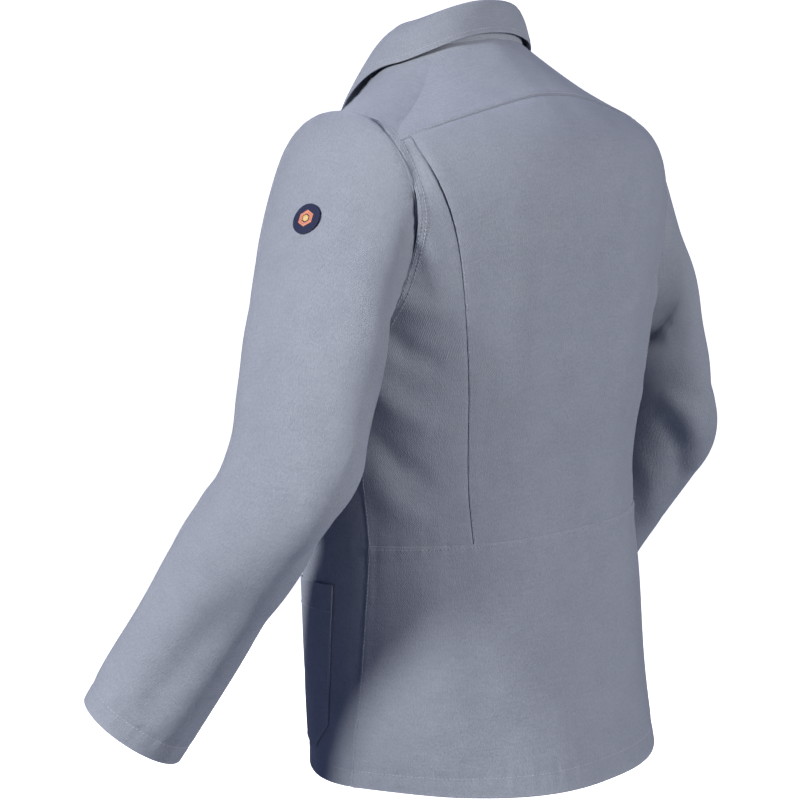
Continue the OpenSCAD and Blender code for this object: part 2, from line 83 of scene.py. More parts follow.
# inner edge x and z, outer edge x and z, middle y, half depth (mm), forward tilt (degrees)
SLEEVE = np.array([
    [246, -284, 206, -84, 2, 90, 0],
    [255, -306, 216, -65, 11, 84, 6],
    [249, -321, 240, -124, 24, 77, 6],
    [240, -329, 293, -212, 24, 74, 1],
    [244, -345, 332, -315, 31, 67, 1],
    [265, -392, 362, -404, 32, 66, 12],
    [285, -454, 381, -473, -20, 58, 34],
    [290, -536, 374, -514, -63, 51, 34],
    [300, -600, 388, -572, -107, 51, 34],
    [310, -646, 405, -613, -130, 47, 36],
], float)
FRONT_ROUNDNESS, BACK_ROUNDNESS = 2.2, 2.3
NECK = 9.0
CUFF = 9.0
ARM_LEVEL, ARM_HALF, ARM_BACK, ARM_FRONT, ARM_FADE = 6.0, 1.6, 35.0, 47.0, 2.2
WAIST = 2.58
SHOULDER_SEAM = -22.0
SIDE_SEAM_TOP = 10.5
PLEAT_LEVEL = 2.0
HEM_LINE = 0.23          # level of the hem stitches
CUFF_LINE = 8.66         # and of the cuff stitches
SLEEVE_SEAM = 195.0      # angle of the seam under the sleeve
PLEAT_ANGLES = np.array([52, 51.5, 50.8, 50, 45, 36, 24], float)[:, None]
ELBOW_SPLIT = 5.0

# mean length of one level and of one degree, for small distances along the cloth
LEVEL_MM, TURN_MM = 82.0, 3.9

PLY = 1.1        # thickness of the cloth as it looks, mm
TURNED = 2.3     # thickness of a turned hem, mm
LAP = 9.0        # how far a panel runs on below the one lapped over it, mm
STEP = 1.0       # how far the upper panel stands proud at a lapped seam, mm


def spline(rows, v):
    """Uniform cubic B-spline through the rows of a table, at v."""
    keys = np.vstack([2 * rows[0] - rows[1], rows, 2 * rows[-1] - rows[-2], 2 * rows[-1] - rows[-2]])
    v = np.clip(np.asarray(v, float), 0, len(rows) - 1.000001)
    i = np.floor(v).astype(int)
    f = (v - i)[..., None]
    return (
        (1 - f) ** 3 * keys[i]
        + (3 * f**3 - 6 * f**2 + 4) * keys[i + 1]
        + (1 + 3 * f + 3 * f**2 - 3 * f**3) * keys[i + 2]
        + f**3 * keys[i + 3]
    ) / 6


def mix(a, b, s):
    return a + (b - a) * s


def ease(s):
    s = np.clip(s, 0, 1)
    return s * s * (3 - 2 * s)


def unit(p):
    return p / np.maximum(np.linalg.norm(p, axis=-1, keepdims=True), 1e-12)


def power(x, p):
    return np.sign(x) * np.abs(x) ** p


def torso(t, v):
    """The smooth torso surface, in metres."""
    t, v = np.broadcast_arrays(np.asarray(t, float), np.asarray(v, float))
    half, front, back, z_side, z_front, z_back, y_mid = np.moveaxis(spline(TORSO, v), -1, 0)
    c, s = np.cos(np.radians(t)), np.sin(np.radians(t))
    behind = s >= 0
    p = 2 / np.where(behind, BACK_ROUNDNESS, FRONT_ROUNDNESS)
    x = half * power(c, p)
    y = y_mid + np.where(behind, back, front) * power(s, p)
    z = mix(z_side, np.where(behind, z_back, z_front), s * s)
    return np.stack([x, y, z], -1) * MM


def torso_normal(t, v):
    dt = torso(t + 0.6, v) - torso(t - 0.6, v)
    dv = torso(t, np.minimum(v + 0.02, NECK)) - torso(t, np.maximum(v - 0.02, 0))
    return unit(np.cross(dt, dv))


def armhole(psi):
    """[t, v] of the armhole seam: psi 0 at the shoulder, 90 behind, 180 under the arm."""
    s, c = np.sin(np.radians(psi)), np.cos(np.radians(psi))
    return np.where(s >= 0, ARM_BACK, ARM_FRONT) * s, ARM_LEVEL + ARM_HALF * c


def beside_armhole(psi, away):
    """[t, v] of a line that keeps a distance (mm) outside the armhole seam."""
    t, v = armhole(psi)
    return t + np.sin(np.radians(psi)) * away / TURN_MM, v + np.cos(np.radians(psi)) * away / LEVEL_MM


def sleeve_oval(k, phi):
    c, s = np.cos(np.radians(phi)), np.sin(np.radians(phi))
    x_in, z_in, x_out, z_out, y_mid, depth, tilt = np.moveaxis(k, -1, 0)
    tilt = np.radians(tilt)
    return np.stack([
        (x_in + x_out) / 2 + c * (x_out - x_in) / 2,
        y_mid + depth * s * np.cos(tilt),
        (z_in + z_out) / 2 + c * (z_out - z_in) / 2 - depth * s * np.sin(tilt),
    ], -1) * MM


def sleeve(phi, v):
    """The smooth surface of the left sleeve, in metres."""
    phi, v = np.broadcast_arrays(np.asarray(phi, float), np.asarray(v, float))
    start = torso(*armhole(phi))
    first = sleeve_oval(np.broadcast_to(SLEEVE[0], phi.shape + (7,)), phi)
    return sleeve_oval(spline(SLEEVE, v), phi) + (start - first) * ease(1 - v / ARM_FADE)[..., None]


def sleeve_normal(phi, v):
    dp = sleeve(phi + 1, v) - sleeve(phi - 1, v)
    dv = sleeve(phi, np.minimum(v + 0.03, CUFF)) - sleeve(phi, np.maximum(v - 0.03, 0))
    return unit(np.cross(dv, dp))


# ---------------------------------------------------------------- seam lines on the torso
def yoke_level(t):
    return 7.8 - 0.85 * (np.abs(90 - t) / 63.5) ** 1.8


def side_seam(v):
    return np.minimum(-5 + 6 * v, SIDE_SEAM_TOP)


def pleat_line(v):
    return spline(PLEAT_ANGLES, v - PLEAT_LEVEL)[..., 0]


YOKE_END = 26.8      # angle where the yoke seam meets the armhole
PSI_SHOULDER = 360 - math.degrees(math.asin(-SHOULDER_SEAM / ARM_FRONT))
PSI_SIDE = 180 - math.degrees(math.asin(SIDE_SEAM_TOP / ARM_BACK))
PSI_YOKE = 52.5
ARMPIT = ARM_LEVEL - ARM_HALF


# ---------------------------------------------------------------- relief: folds, puckers, drape
class Line:
    """A line on a surface, for ridges, hollows and puckers: points in metres."""

    def __init__(self, surface, a, b, count=60):
        s = np.linspace(0, 1, count)
        knots = np.linspace(0, 1, len(a))
        self.points = surface(np.interp(s, knots, a), np.interp(s, knots, b))
        steps = np.linalg.norm(np.diff(self.points, axis=0), axis=1)
        self.arc = np.concatenate([[0], np.cumsum(steps)])

    def near(self, p):
        """Distance to the line and place along it, in mm, of each point."""
        flat = p.reshape(-1, 3)
        a, b = self.points[:-1], self.points[1:]
        d = b - a
        length2 = np.maximum((d * d).sum(1), 1e-12)
        best = np.full(len(flat), 1e9)
        place = np.zeros(len(flat))
        for k in range(0, len(flat), 20000):
            q = flat[k:k + 20000]
            coarse = ((q[:, None] - self.points[None]) ** 2).sum(-1)
            i = np.clip(coarse.argmin(1), 1, len(self.points) - 2)
            for j in (i - 1, i):
                along = np.clip(((q - a[j]) * d[j]).sum(1) / length2[j], 0, 1)
                away = np.linalg.norm(q - a[j] - along[:, None] * d[j], axis=1)
                closer = away < best[k:k + 20000]
                best[k:k + 20000] = np.where(closer, away, best[k:k + 20000])
                here = self.arc[j] + along * np.sqrt(length2[j])
                place[k:k + 20000] = np.where(closer, here, place[k:k + 20000])
        return best.reshape(p.shape[:-1]) / MM, place.reshape(p.shape[:-1]) / MM


def ripple(place, period, phase):
    """An uneven wave along a seam, from -1 to 1."""
    x = place / period * 2 * np.pi + phase
    return 0.55 * np.sin(x) + 0.3 * np.sin(1.73 * x + 1.1) + 0.15 * np.sin(0.41 * x + 2.3)


class Seam(Line):
    """A stitched seam draws the cloth in and puckers it."""

    def __init__(
        self, surface, a, b, count=60, depth=0.6, pucker=0.35, reach=10.0, period=15.0, phase=0.0
    ):
        super().__init__(surface, a, b, count)
        self.depth, self.pucker, self.reach, self.period, self.phase = depth, pucker, reach, period, phase

    def height(self, p):
        away, place = self.near(p)
        pulled = -self.depth * np.exp(-((away / 3.5) ** 2))
        waves = self.pucker * ripple(place, self.period, self.phase) * np.exp(-((away / self.reach) ** 2))
        return pulled + waves


class Fold(Line):
    """A soft ridge (height above 0) or hollow (below 0) in the cloth, fading at its ends."""

    def __init__(self, surface, a, b, width, height, count=24):
        super().__init__(surface, a, b, count)
        self.width, self.rise = width, height

    def height(self, p):
        away, place = self.near(p)
        share = place / (self.arc[-1] / MM)
        along = np.sin(np.pi * np.clip(share, 0.02, 0.98)) ** 0.6
        return self.rise * np.exp(-((away / self.width) ** 2)) * along


def drape(p):
    """Broad, shallow waves of cloth that hangs from the shoulders, in mm."""
    x, y, z = p[..., 0], p[..., 1], p[..., 2]
    around = np.arctan2(y, x)
    low = ease((-z - 0.15) / 0.5)
    waves = 1.3 * np.sin(5 * around + 7 * z + 0.6) + 0.8 * np.sin(9 * around - 11 * z + 2.0)
    fine = 0.35 * np.sin(31 * x + 17 * z + 0.5) * np.sin(27 * z - 13 * y + 1.4)
    return waves * (0.35 + 0.65 * low) + fine


seam_t = np.linspace(YOKE_END, 180 - YOKE_END, 60)
TORSO_LINES = [
    Seam(torso, seam_t, yoke_level(seam_t), 110, depth=1.0, phase=0.3),
    Seam(torso, np.linspace(-3, 183, 50), np.full(50, WAIST), 170, pucker=0.4, period=17, phase=1.0),
    Seam(torso, np.linspace(-93, 267, 80), np.full(80, HEM_LINE), 300, 0.45, 0.45, period=19, phase=2.0),
]
TORSO_FOLDS = [
    # hollow where the pleat opens below the yoke, and the soft roll beside it
    ([33, 35, 36], [7.0, 6.6, 6.2], 11, -3.4),
    ([29, 31, 33], [6.5, 6.15, 5.7], 13, 2.2),
    # drag lines from the armhole into the side of the back
    ([22, 33, 45], [5.3, 4.95, 4.85], 13, 2.8),
    ([20, 31, 43], [4.85, 4.5, 4.35], 12, -2.8),
    ([14, 26, 40], [4.35, 3.95, 3.75], 14, 3.0),
    ([13, 25, 38], [3.8, 3.4, 3.15], 13, -2.4),
    ([12, 24, 36], [3.3, 2.95, 2.8], 14, 1.8),
    ([30, 36, 41], [6.3, 5.9, 5.3], 12, 2.2),
    # long hanging waves of the back below the shoulder blades
    ([66, 68, 67], [6.9, 5.4, 3.6], 26, 1.6),
    ([79, 80, 82], [5.6, 4.2, 2.9], 24, -1.5),
    ([100, 103, 104], [6.6, 4.8, 3.1], 28, 1.5),
    # skirt
    ([30, 31, 33], [2.4, 1.4, 0.1], 22, 1.8),
    ([48, 49, 50], [2.5, 1.2, 0.0], 20, -1.6),
    ([72, 70, 67], [2.5, 1.3, 0.0], 26, 1.9),
    ([106, 107, 110], [2.5, 1.3, 0.0], 24, -1.6),
    # fronts
    ([-45, -42, -40], [4.2, 3.0, 1.2], 24, 2.0),
    ([-60, -57, -54], [4.6, 3.2, 1.6], 20, -1.5),
    ([-28, -24, -20], [4.2, 3.4, 2.2], 18, -2.0),
]
for side in (LEFT, RIGHT):
    def here(t, v, side=side):
        return torso(t, v) * np.array([side, 1, 1])

    levels = np.linspace(WAIST, 7.15, 40)
    TORSO_LINES += [
        Seam(here, pleat_line(levels), levels, 100, depth=0.3, pucker=0.3, reach=8, phase=0.7 + side),
        Seam(here, side_seam(np.linspace(0, 4.45, 40)), np.linspace(0, 4.45, 40), 110, phase=1.9 + side),
        Seam(here, *armhole(np.linspace(0, 360, 90)), 150, depth=0.5, pucker=0.45, phase=2.5 + side),
        Seam(here, np.full(9, SHOULDER_SEAM), np.linspace(7.4, 9, 9), 40, depth=0.5, phase=0.2 + side),
    ]
    # the wearer's right side isn't an exact copy of the left
    shift = 0 if side == LEFT else 1
    TORSO_LINES += [
        Fold(here, np.array(t) + 2.5 * shift, np.array(v, float) - 0.1 * shift, w, h * (1.6 - 0.3 * shift))
        for t, v, w, h in TORSO_FOLDS
    ]


def torso_relief(p):
    return drape(p) + sum(line.height(p) for line in TORSO_LINES)


def sleeve_waves(p, side):
    x, y, z = p[..., 0], p[..., 1], p[..., 2]
    turn = np.arctan2(y - 0.2 * z, x - 0.3)
    return (
        1.1 * np.sin(3 * turn + 16 * z + side) + 0.6 * np.sin(5 * turn - 23 * z + 2 * side + 0.7)
        + 0.3 * np.sin(41 * z + 19 * y + side) * np.sin(23 * y + 1.1)
    )


# [phi...], [v...], width, height of the folds of a sleeve
BOTH_SLEEVES = [
    # under the arm, running out from the armpit
    ([170, 200, 228], [0.9, 1.5, 2.4], 13, 3.0),
    ([178, 205, 236], [1.6, 2.2, 2.9], 10, -3.0),
    ([168, 150, 126], [0.9, 1.4, 2.2], 13, 2.6),
    ([172, 150, 128], [1.6, 2.1, 2.8], 10, -2.6),
    # crook of the elbow, on the front and inner side
    ([195, 235, 285], [4.75, 4.9, 4.8], 12, 2.6),
    ([190, 230, 288], [5.1, 5.25, 5.15], 10, -3.2),
    ([188, 230, 285], [5.45, 5.6, 5.5], 11, 2.8),
    ([190, 230, 275], [5.85, 5.9, 5.75], 11, -2.4),
    ([200, 240, 275], [6.3, 6.2, 6.0], 14, 1.8),
    # sweep of cloth from the crook of the elbow to the back of the forearm
    ([150, 120, 96], [4.5, 4.75, 5.2], 14, 2.6),
    ([152, 118, 88], [4.95, 5.3, 5.8], 13, -2.8),
    ([156, 126, 92], [5.5, 5.85, 6.5], 15, 2.4),
    # back of the elbow
    ([40, 62, 86], [4.7, 5.2, 5.6], 24, 2.6),
    ([30, 58, 84], [4.1, 4.4, 4.5], 18, -2.0),
    # long waves down the outside
    ([20, 8, 352], [1.2, 2.6, 4.4], 22, 2.2),
    ([48, 40, 30], [1.0, 2.4, 4.2], 18, -2.2),
    ([330, 338, 344], [1.4, 3.0, 4.8], 22, -1.8),
    ([22, 12, 5], [6.0, 7.3, 8.9], 20, 2.2),
    ([46, 42, 38], [5.9, 7.2, 8.6], 16, -2.0),
    ([66, 64, 66], [6.3, 7.4, 8.7], 18, 1.8),
    ([300, 310, 318], [6.3, 7.4, 8.7], 20, 1.8),
]


class Arm:
    """The cloth surface of one sleeve."""

    def __init__(self, side):
        self.side = side
        shift = 0 if side == LEFT else 1
        self.lines = [
            Fold(
                sleeve, np.array(phi, float) + 6 * shift, np.array(v, float) + 0.07 * shift,
                w, h * (1.65 + 0.15 * shift),
            )
            for phi, v, w, h in BOTH_SLEEVES
        ]
        turn = np.linspace(0, 360, 80)
        self.lines += [
            Seam(sleeve, turn, np.full(80, 0.02), 150, 0.3, 0.7, reach=14, period=17, phase=side),
            Seam(sleeve, turn, np.full(80, CUFF_LINE), 110, depth=0.5, pucker=0.5, period=16, phase=1 + side),
            Seam(sleeve, np.full(40, SLEEVE_SEAM), np.linspace(0.2, 8.9, 40), 110, phase=2 + side),
        ]

    def relief(self, p):
        return sleeve_waves(p, self.side) + sum(line.height(p) for line in self.lines)

    def at(self, phi, v, lift=0.0):
        """The cloth's outer face at v above 0, raised by lift (mm), on the left side."""
        p = sleeve(phi, v)
        rise = self.relief(p) * ease(np.asarray(v) / 0.25) + lift
        return p + sleeve_normal(phi, v) * rise[..., None] * MM


def on_torso(t, v, lift=0.0, side=LEFT):
    """The torso cloth's outer face, raised by lift (mm): the left side, or the right one mirrored."""
    p = torso(t, v)
    rise = torso_relief(p * np.array([side, 1, 1])) + lift
    return p + torso_normal(t, v) * rise[..., None] * MM


def lap(away, rise=STEP, over=14.0):
    """How far an upper panel stands proud, away mm from its lapped edge."""
    return rise * (1 - ease(away / over))


def tuck(past):
    """How far a lower panel sinks, past mm beyond the seam."""
    return -1.7 * ease(past / LAP)


# ---------------------------------------------------------------- meshes
def net_quads(index):
    """Quads between the neighbours of a net of vertex numbers."""
    return np.stack([index[:-1, :-1], index[1:, :-1], index[1:, 1:], index[:-1, 1:]], -1).reshape(-1, 4)


def tube_quads(index):
    """Quads between rings of vertex numbers, each of which closes on itself."""
    after = np.roll(index, -1, axis=1)
    return np.stack([index[:-1], after[:-1], after[1:], index[1:]], -1).reshape(-1, 4)


class Grid:
    """A rectangular net of points over a piece of cloth, with its normals and its flat coordinates."""

    def __init__(self, p, n=None, uv=None, wrap=False, outward=1):
        self.p = p
        if n is None:
            if wrap:
                ring = np.concatenate([p[-2:-1], p, p[1:2]])
                du = (ring[2:] - ring[:-2]) / 2
            else:
                du = np.gradient(p, axis=0)
            n = unit(np.cross(du, np.gradient(p, axis=1))) * outward
        self.n = n
        if uv is None:
            along_u = np.linalg.norm(np.diff(p, axis=0), axis=2)
            along_w = np.linalg.norm(np.diff(p, axis=1), axis=2)
            u = np.concatenate([np.zeros((1, p.shape[1])), np.cumsum(along_u, 0)])
            w = np.concatenate([np.zeros((p.shape[0], 1)), np.cumsum(along_w, 1)], 1)
            middle = p.shape[0] // 2
            uv = np.stack([u - u[middle], np.broadcast_to(w[middle], w.shape)], -1)
        self.uv = uv
        self.outward = outward

    def part(self, u, w):
        return Grid(self.p[u, w], self.n[u, w], self.uv[u, w], outward=self.outward)


def add_mesh(name, verts, quads, uv=None, normals=None, wear=None, smooth=True):
    mesh = bpy.data.meshes.new(name)
    mesh.from_pydata(verts.tolist(), [], quads.tolist())
    if smooth:
        mesh.polygons.foreach_set("use_smooth", np.ones(len(quads), bool))
    if uv is not None:
        layer = mesh.uv_layers.new(name="Cloth")
        corners = np.zeros(len(mesh.loops), np.int32)
        mesh.loops.foreach_get("vertex_index", corners)
        layer.data.foreach_set("uv", uv[corners].astype(np.float32).ravel())
    if wear is not None:
        mesh.attributes.new("wear", "FLOAT", "POINT").data.foreach_set("value", wear.astype(np.float32))
    if normals is not None:
        mesh.normals_split_custom_set_from_vertices(normals.tolist())
    obj = bpy.data.objects.new(name, mesh)
    bpy.context.scene.collection.objects.link(obj)
    return obj


ROUND = np.radians([45, 90, 135])


def cut_size(grid):
    """Middle width, middle length and area (metres) of a piece of cloth, measured along its net."""
    across, down = np.diff(grid.p, axis=0), np.diff(grid.p, axis=1)
    width = float(np.median(np.linalg.norm(across, axis=2).sum(0)))
    length = float(np.median(np.linalg.norm(down, axis=2).sum(1)))
    area = float(np.linalg.norm(np.cross(across[:, :-1], down[:-1]), axis=2).sum())
    return (width, length), area if area < width * length else None


def shell(name, grid, thick=PLY, rims="abcd", side=LEFT, rub=1.0):
    """Cloth of some thickness (mm) below the net. The rims named have rounded edges, rubbed pale by rub.
    Rims are c along the first row, b along the last column, d along the last row and a along the
    first column."""
    p, n = grid.p, grid.n
    nu, nw = p.shape[:2]
    thick = np.broadcast_to(thick, (nu, nw))[..., None] * MM
    inner = p - n * thick
    index = np.arange(nu * nw).reshape(nu, nw)
    outer = net_quads(index)
    quads = [outer, outer[:, ::-1] + nu * nw]
    rows = {
        "c": [(i, 0) for i in range(nu)],
        "b": [(nu - 1, j) for j in range(nw)],
        "d": [(i, nw - 1) for i in range(nu - 1, -1, -1)],
        "a": [(0, j) for j in range(nw - 1, -1, -1)],
    }
    outward = {
        "c": unit(p[:, 0] - p[:, 1]), "b": unit(p[-1] - p[-2]),
        "d": unit(p[:, -1] - p[:, -2])[::-1], "a": unit(p[0] - p[1])[::-1],
    }
    runs = []
    for edge in "cbda":
        if edge not in rims:
            runs.append(None)
        elif runs and runs[-1] is not None and rims != "cd":
            runs[-1].append(edge)
        else:
            runs.append([edge])
    runs = [r for r in runs if r]
    closed = len(rims) == 4
    if not closed and len(runs) > 1 and "c" in rims and "a" in rims:
        runs[0] = runs.pop() + runs[0]
    verts, norms = [p.reshape(-1, 3), inner.reshape(-1, 3)], [n.reshape(-1, 3), -n.reshape(-1, 3)]
    uv = [grid.uv.reshape(-1, 2)] * 2
    steps_u = np.arange(nu)[:, None]
    steps_w = np.arange(nw)[None]
    spacing_u = np.linalg.norm(np.diff(p, axis=0), axis=2).mean() / MM
    spacing_w = np.linalg.norm(np.diff(p, axis=1), axis=2).mean() / MM
    away = np.full((nu, nw), 1e9)
    for edge, distance in (
        ("a", steps_u * spacing_u), ("b", (nu - 1 - steps_u) * spacing_u),
        ("c", steps_w * spacing_w), ("d", (nw - 1 - steps_w) * spacing_w),
    ):
        if edge in rims:
            away = np.minimum(away, distance)
    worn = rub * np.exp(-away / 3.0).reshape(-1)
    wear = [worn, worn * 0.5]
    count = 2 * nu * nw
    for run in runs:
        places, pushes = [], []
        for edge in run:
            for place, push in zip(rows[edge], outward[edge]):
                if places and places[-1] == place:
                    pushes[-1] = pushes[-1] + push
                else:
                    places.append(place)
                    pushes.append(push)
        if closed and places[0] == places[-1]:
            places.pop()
            pushes[0] = pushes[0] + pushes.pop()
        at = np.array(places)
        edge_p, edge_n = p[at[:, 0], at[:, 1]], n[at[:, 0], at[:, 1]]
        half = thick[at[:, 0], at[:, 1]] / 2
        push = np.array(pushes)
        push = unit(push - (push * edge_n).sum(1, keepdims=True) * edge_n)
        ring = [index[at[:, 0], at[:, 1]]]
        for a in ROUND:
            verts.append(edge_p - edge_n * half * (1 - math.cos(a)) + push * half * math.sin(a))
            norms.append(unit(edge_n * math.cos(a) + push * math.sin(a)))
            uv.append(grid.uv[at[:, 0], at[:, 1]])
            wear.append(np.full(len(at), rub))
            ring.append(count + np.arange(len(at)))
            count += len(at)
        ring.append(index[at[:, 0], at[:, 1]] + nu * nw)
        for upper, lower in zip(ring, ring[1:]):
            if closed:
                upper, lower = np.append(upper, upper[0]), np.append(lower, lower[0])
            quads.append(np.stack([upper[1:], upper[:-1], lower[:-1], lower[1:]], -1))
    # an edge that meets another piece is closed flat
    for edge in (e for e in "cbda" if e not in rims):
        at = np.array(rows[edge])
        upper = index[at[:, 0], at[:, 1]]
        lower = upper + nu * nw
        quads.append(np.stack([upper[1:], upper[:-1], lower[:-1], lower[1:]], -1))
    verts, norms, quads = np.concatenate(verts), np.concatenate(norms), np.concatenate(quads)
    flips = grid.outward
    if side == RIGHT:
        verts, norms = verts * [-1, 1, 1], norms * [-1, 1, 1]
        flips = -flips
    if flips < 0:
        quads = quads[:, ::-1]
    cloth = add_mesh(name, verts, quads, np.concatenate(uv), norms, np.concatenate(wear))
    return cloth


def net(nu, nw):
    """Shares u and w of a net of nu by nw steps."""
    return np.meshgrid(np.linspace(0, 1, nu + 1), np.linspace(0, 1, nw + 1), indexing="ij")


# ---------------------------------------------------------------- thread
STITCH, STITCH_GAP, THREAD_R = 2.7, 1.0, 0.3     # mm
thread = {}


def sew(group, points, normals, side=LEFT, length=STITCH, gap=STITCH_GAP, radius=THREAD_R):
    """Adds stitches along a line of points to a group of threads. Each dips into the cloth at its ends."""
    steps = np.linalg.norm(np.diff(points, axis=0), axis=1)
    arc = np.concatenate([[0], np.cumsum(steps)]) / MM
    count = int(arc[-1] // (length + gap))
    if count < 1:
        return
    first = np.arange(count) * (length + gap) + gap / 2
    shares = np.array([0, 0.12, 0.5, 0.88, 1])
    sizes = np.array([0.25, 0.8, 1, 0.8, 0.25])
    heights = np.array([-0.7, 0.15, 0.45, 0.15, -0.7])
    s = first[:, None] + shares * length
    centre = np.stack([np.interp(s, arc, points[:, k]) for k in range(3)], -1)
    normal = unit(np.stack([np.interp(s, arc, normals[:, k]) for k in range(3)], -1))
    along = unit(centre[:, -1:] - centre[:, :1])
    across = np.cross(along, normal)
    angle = np.arange(6) * np.pi / 3
    r = radius * sizes[None, :, None, None] * MM
    ring = (
        centre[:, :, None]
        + normal[:, :, None] * (heights[None, :, None, None] * radius * MM + r * np.sin(angle)[:, None])
        + across[:, :, None] * r * np.cos(angle)[:, None] * 1.15
    )
    verts = ring.reshape(-1, 3)
    one = np.arange(shares.size * angle.size).reshape(shares.size, angle.size)
    quads = (tube_quads(one)[None] + one.size * np.arange(count)[:, None, None]).reshape(-1, 4)
    if side == RIGHT:
        verts = verts * [-1, 1, 1]
        quads = quads[:, ::-1]
    thread.setdefault(group, []).append((verts, quads))


def sew_torso(group, t, v, lift=0.0, side=LEFT, step=2.0, surface=on_torso):
    """Stitches on the torso cloth along [t, v], as dense as step (mm)."""
    t, v, lift = np.broadcast_arrays(np.asarray(t, float), np.asarray(v, float), np.asarray(lift, float))
    rough = torso(t, v)
    arc = np.concatenate([[0], np.cumsum(np.linalg.norm(np.diff(rough, axis=0), axis=1))])
    s = np.linspace(0, arc[-1], max(4, int(arc[-1] / (step * MM))))
    t, v, lift = np.interp(s, arc, t), np.interp(s, arc, v), np.interp(s, arc, lift)
    sew(group, surface(t, v, lift, side), torso_normal(t, v), side)


def sew_sleeve(group, arm, phi, v, lift=0.0):
    p = arm.at(phi, v, lift)
    sew(group, p, sleeve_normal(phi, v), arm.side)


# ---------------------------------------------------------------- materials
YARN = 0.55      # pitch of the cross yarns, mm


def new_material(name):
    material = bpy.data.materials.new(name)
    material.use_nodes = True
    tree = material.node_tree
    return material, tree, tree.nodes["Principled BSDF"]


def node(tree, kind, **values):
    made = tree.nodes.new(kind)
    for key, value in values.items():
        if hasattr(made, key):
            setattr(made, key, value)
        else:
            made.inputs[key.replace("_", " ")].default_value = value
    return made


def calc(tree, operation, a, b=None):
    made = tree.nodes.new("ShaderNodeMath")
    made.operation = operation
    for socket, value in zip(made.inputs, (a, b)):
        if value is None:
            continue
        if isinstance(value, (int, float)):
            socket.default_value = value
        else:
            tree.links.new(value, socket)
    return made.outputs[0]


def noise(tree, vector, scale, detail=2.0, roughness=0.5):
    made = node(tree, "ShaderNodeTexNoise", Scale=scale, Detail=detail, Roughness=roughness)
    tree.links.new(vector, made.inputs["Vector"])
    return made.outputs["Fac"]


def blend_colour(tree, fac, a, b):
    made = tree.nodes.new("ShaderNodeMix")
    made.data_type = "RGBA"
    for socket, value in ((made.inputs[0], fac), (made.inputs[6], a), (made.inputs[7], b)):
        if isinstance(value, (tuple, list)):
            socket.default_value = (*value, 1)
        elif isinstance(value, (int, float)):
            socket.default_value = value
        else:
            tree.links.new(value, socket)
    return made.outputs[2]


def stretched(tree, vector, scale, turn=0.0):
    """Flat coordinates stretched and turned (degrees)."""
    mapping = tree.nodes.new("ShaderNodeMapping")
    mapping.inputs["Rotation"].default_value = (0, 0, math.radians(turn))
    mapping.inputs["Scale"].default_value = scale
    tree.links.new(vector, mapping.inputs["Vector"])
    return mapping.outputs[0]


def twill(name, colour, dark, light, rib=1.6, depth=0.00042, roughness=0.88, sheen=0.25):
    """Cotton twill: fine diagonal ribs, uneven yarns, cloudy dye and paler, worn edges."""
    material, tree, shader = new_material(name)
    add, times = partial(calc, tree, "ADD"), partial(calc, tree, "MULTIPLY")
    cloth = tree.nodes.new("ShaderNodeUVMap")
    cloth.uv_map = "Cloth"
    flat = cloth.outputs["UV"]
    place = tree.nodes.new("ShaderNodeTexCoord").outputs["Object"]
    split = tree.nodes.new("ShaderNodeSeparateXYZ")
    tree.links.new(flat, split.inputs[0])
    wobble = noise(tree, flat, 320, 3)
    across = add(split.outputs[0], times(split.outputs[1], 0.62))
    ribs = calc(tree, "SINE", add(times(across, 2 * math.pi / (rib * MM)), times(wobble, 7.0)))
    yarns = calc(tree, "SINE", add(times(split.outputs[1], 2 * math.pi / (YARN * MM)), times(wobble, 5.0)))
    grain = calc(tree, "SUBTRACT", noise(tree, stretched(tree, flat, (1000, 330, 1), 32), 1.0, 2), 0.5)
    weave = add(add(times(ribs, 0.34), times(yarns, 0.2)), times(grain, 2.4))
    slub = noise(tree, stretched(tree, flat, (40, 900, 1)), 1.0, 3)
    warp = noise(tree, stretched(tree, flat, (700, 60, 1)), 1.0, 3)
    height = add(weave, times(add(slub, warp), 0.9))

    patch = noise(tree, place, 38, 3, 0.6)
    tone = add(times(noise(tree, place, 7, 4, 0.55), 0.5), times(patch, 0.3))
    tone = add(add(tone, times(add(slub, warp), 0.5)), times(weave, 0.55))
    tone = calc(tree, "SUBTRACT", tone, 0.4)
    base = blend_colour(tree, tone, dark, light)
    wear = tree.nodes.new("ShaderNodeAttribute")
    wear.attribute_name = "wear"
    rubbed = times(wear.outputs["Fac"], times(patch, 0.55))
    base = blend_colour(tree, rubbed, base, tuple(min(1, 1.2 * c) for c in colour))
    tree.links.new(base, shader.inputs["Base Color"])

    bump = node(tree, "ShaderNodeBump", Strength=0.6, Distance=depth)
    tree.links.new(height, bump.inputs["Height"])
    crumple = node(tree, "ShaderNodeBump", Strength=0.6, Distance=0.0032)
    tree.links.new(noise(tree, place, 26, 4, 0.5), crumple.inputs["Height"])
    tree.links.new(bump.outputs[0], crumple.inputs["Normal"])
    tree.links.new(crumple.outputs[0], shader.inputs["Normal"])
    shader.inputs["Roughness"].default_value = roughness
    shader.inputs["Specular IOR Level"].default_value = 0.25
    shader.inputs["Sheen Weight"].default_value = sheen
    shader.inputs["Sheen Roughness"].default_value = 0.45
    shader.inputs["Sheen Tint"].default_value = (0.75, 0.8, 1.0, 1)
    return material


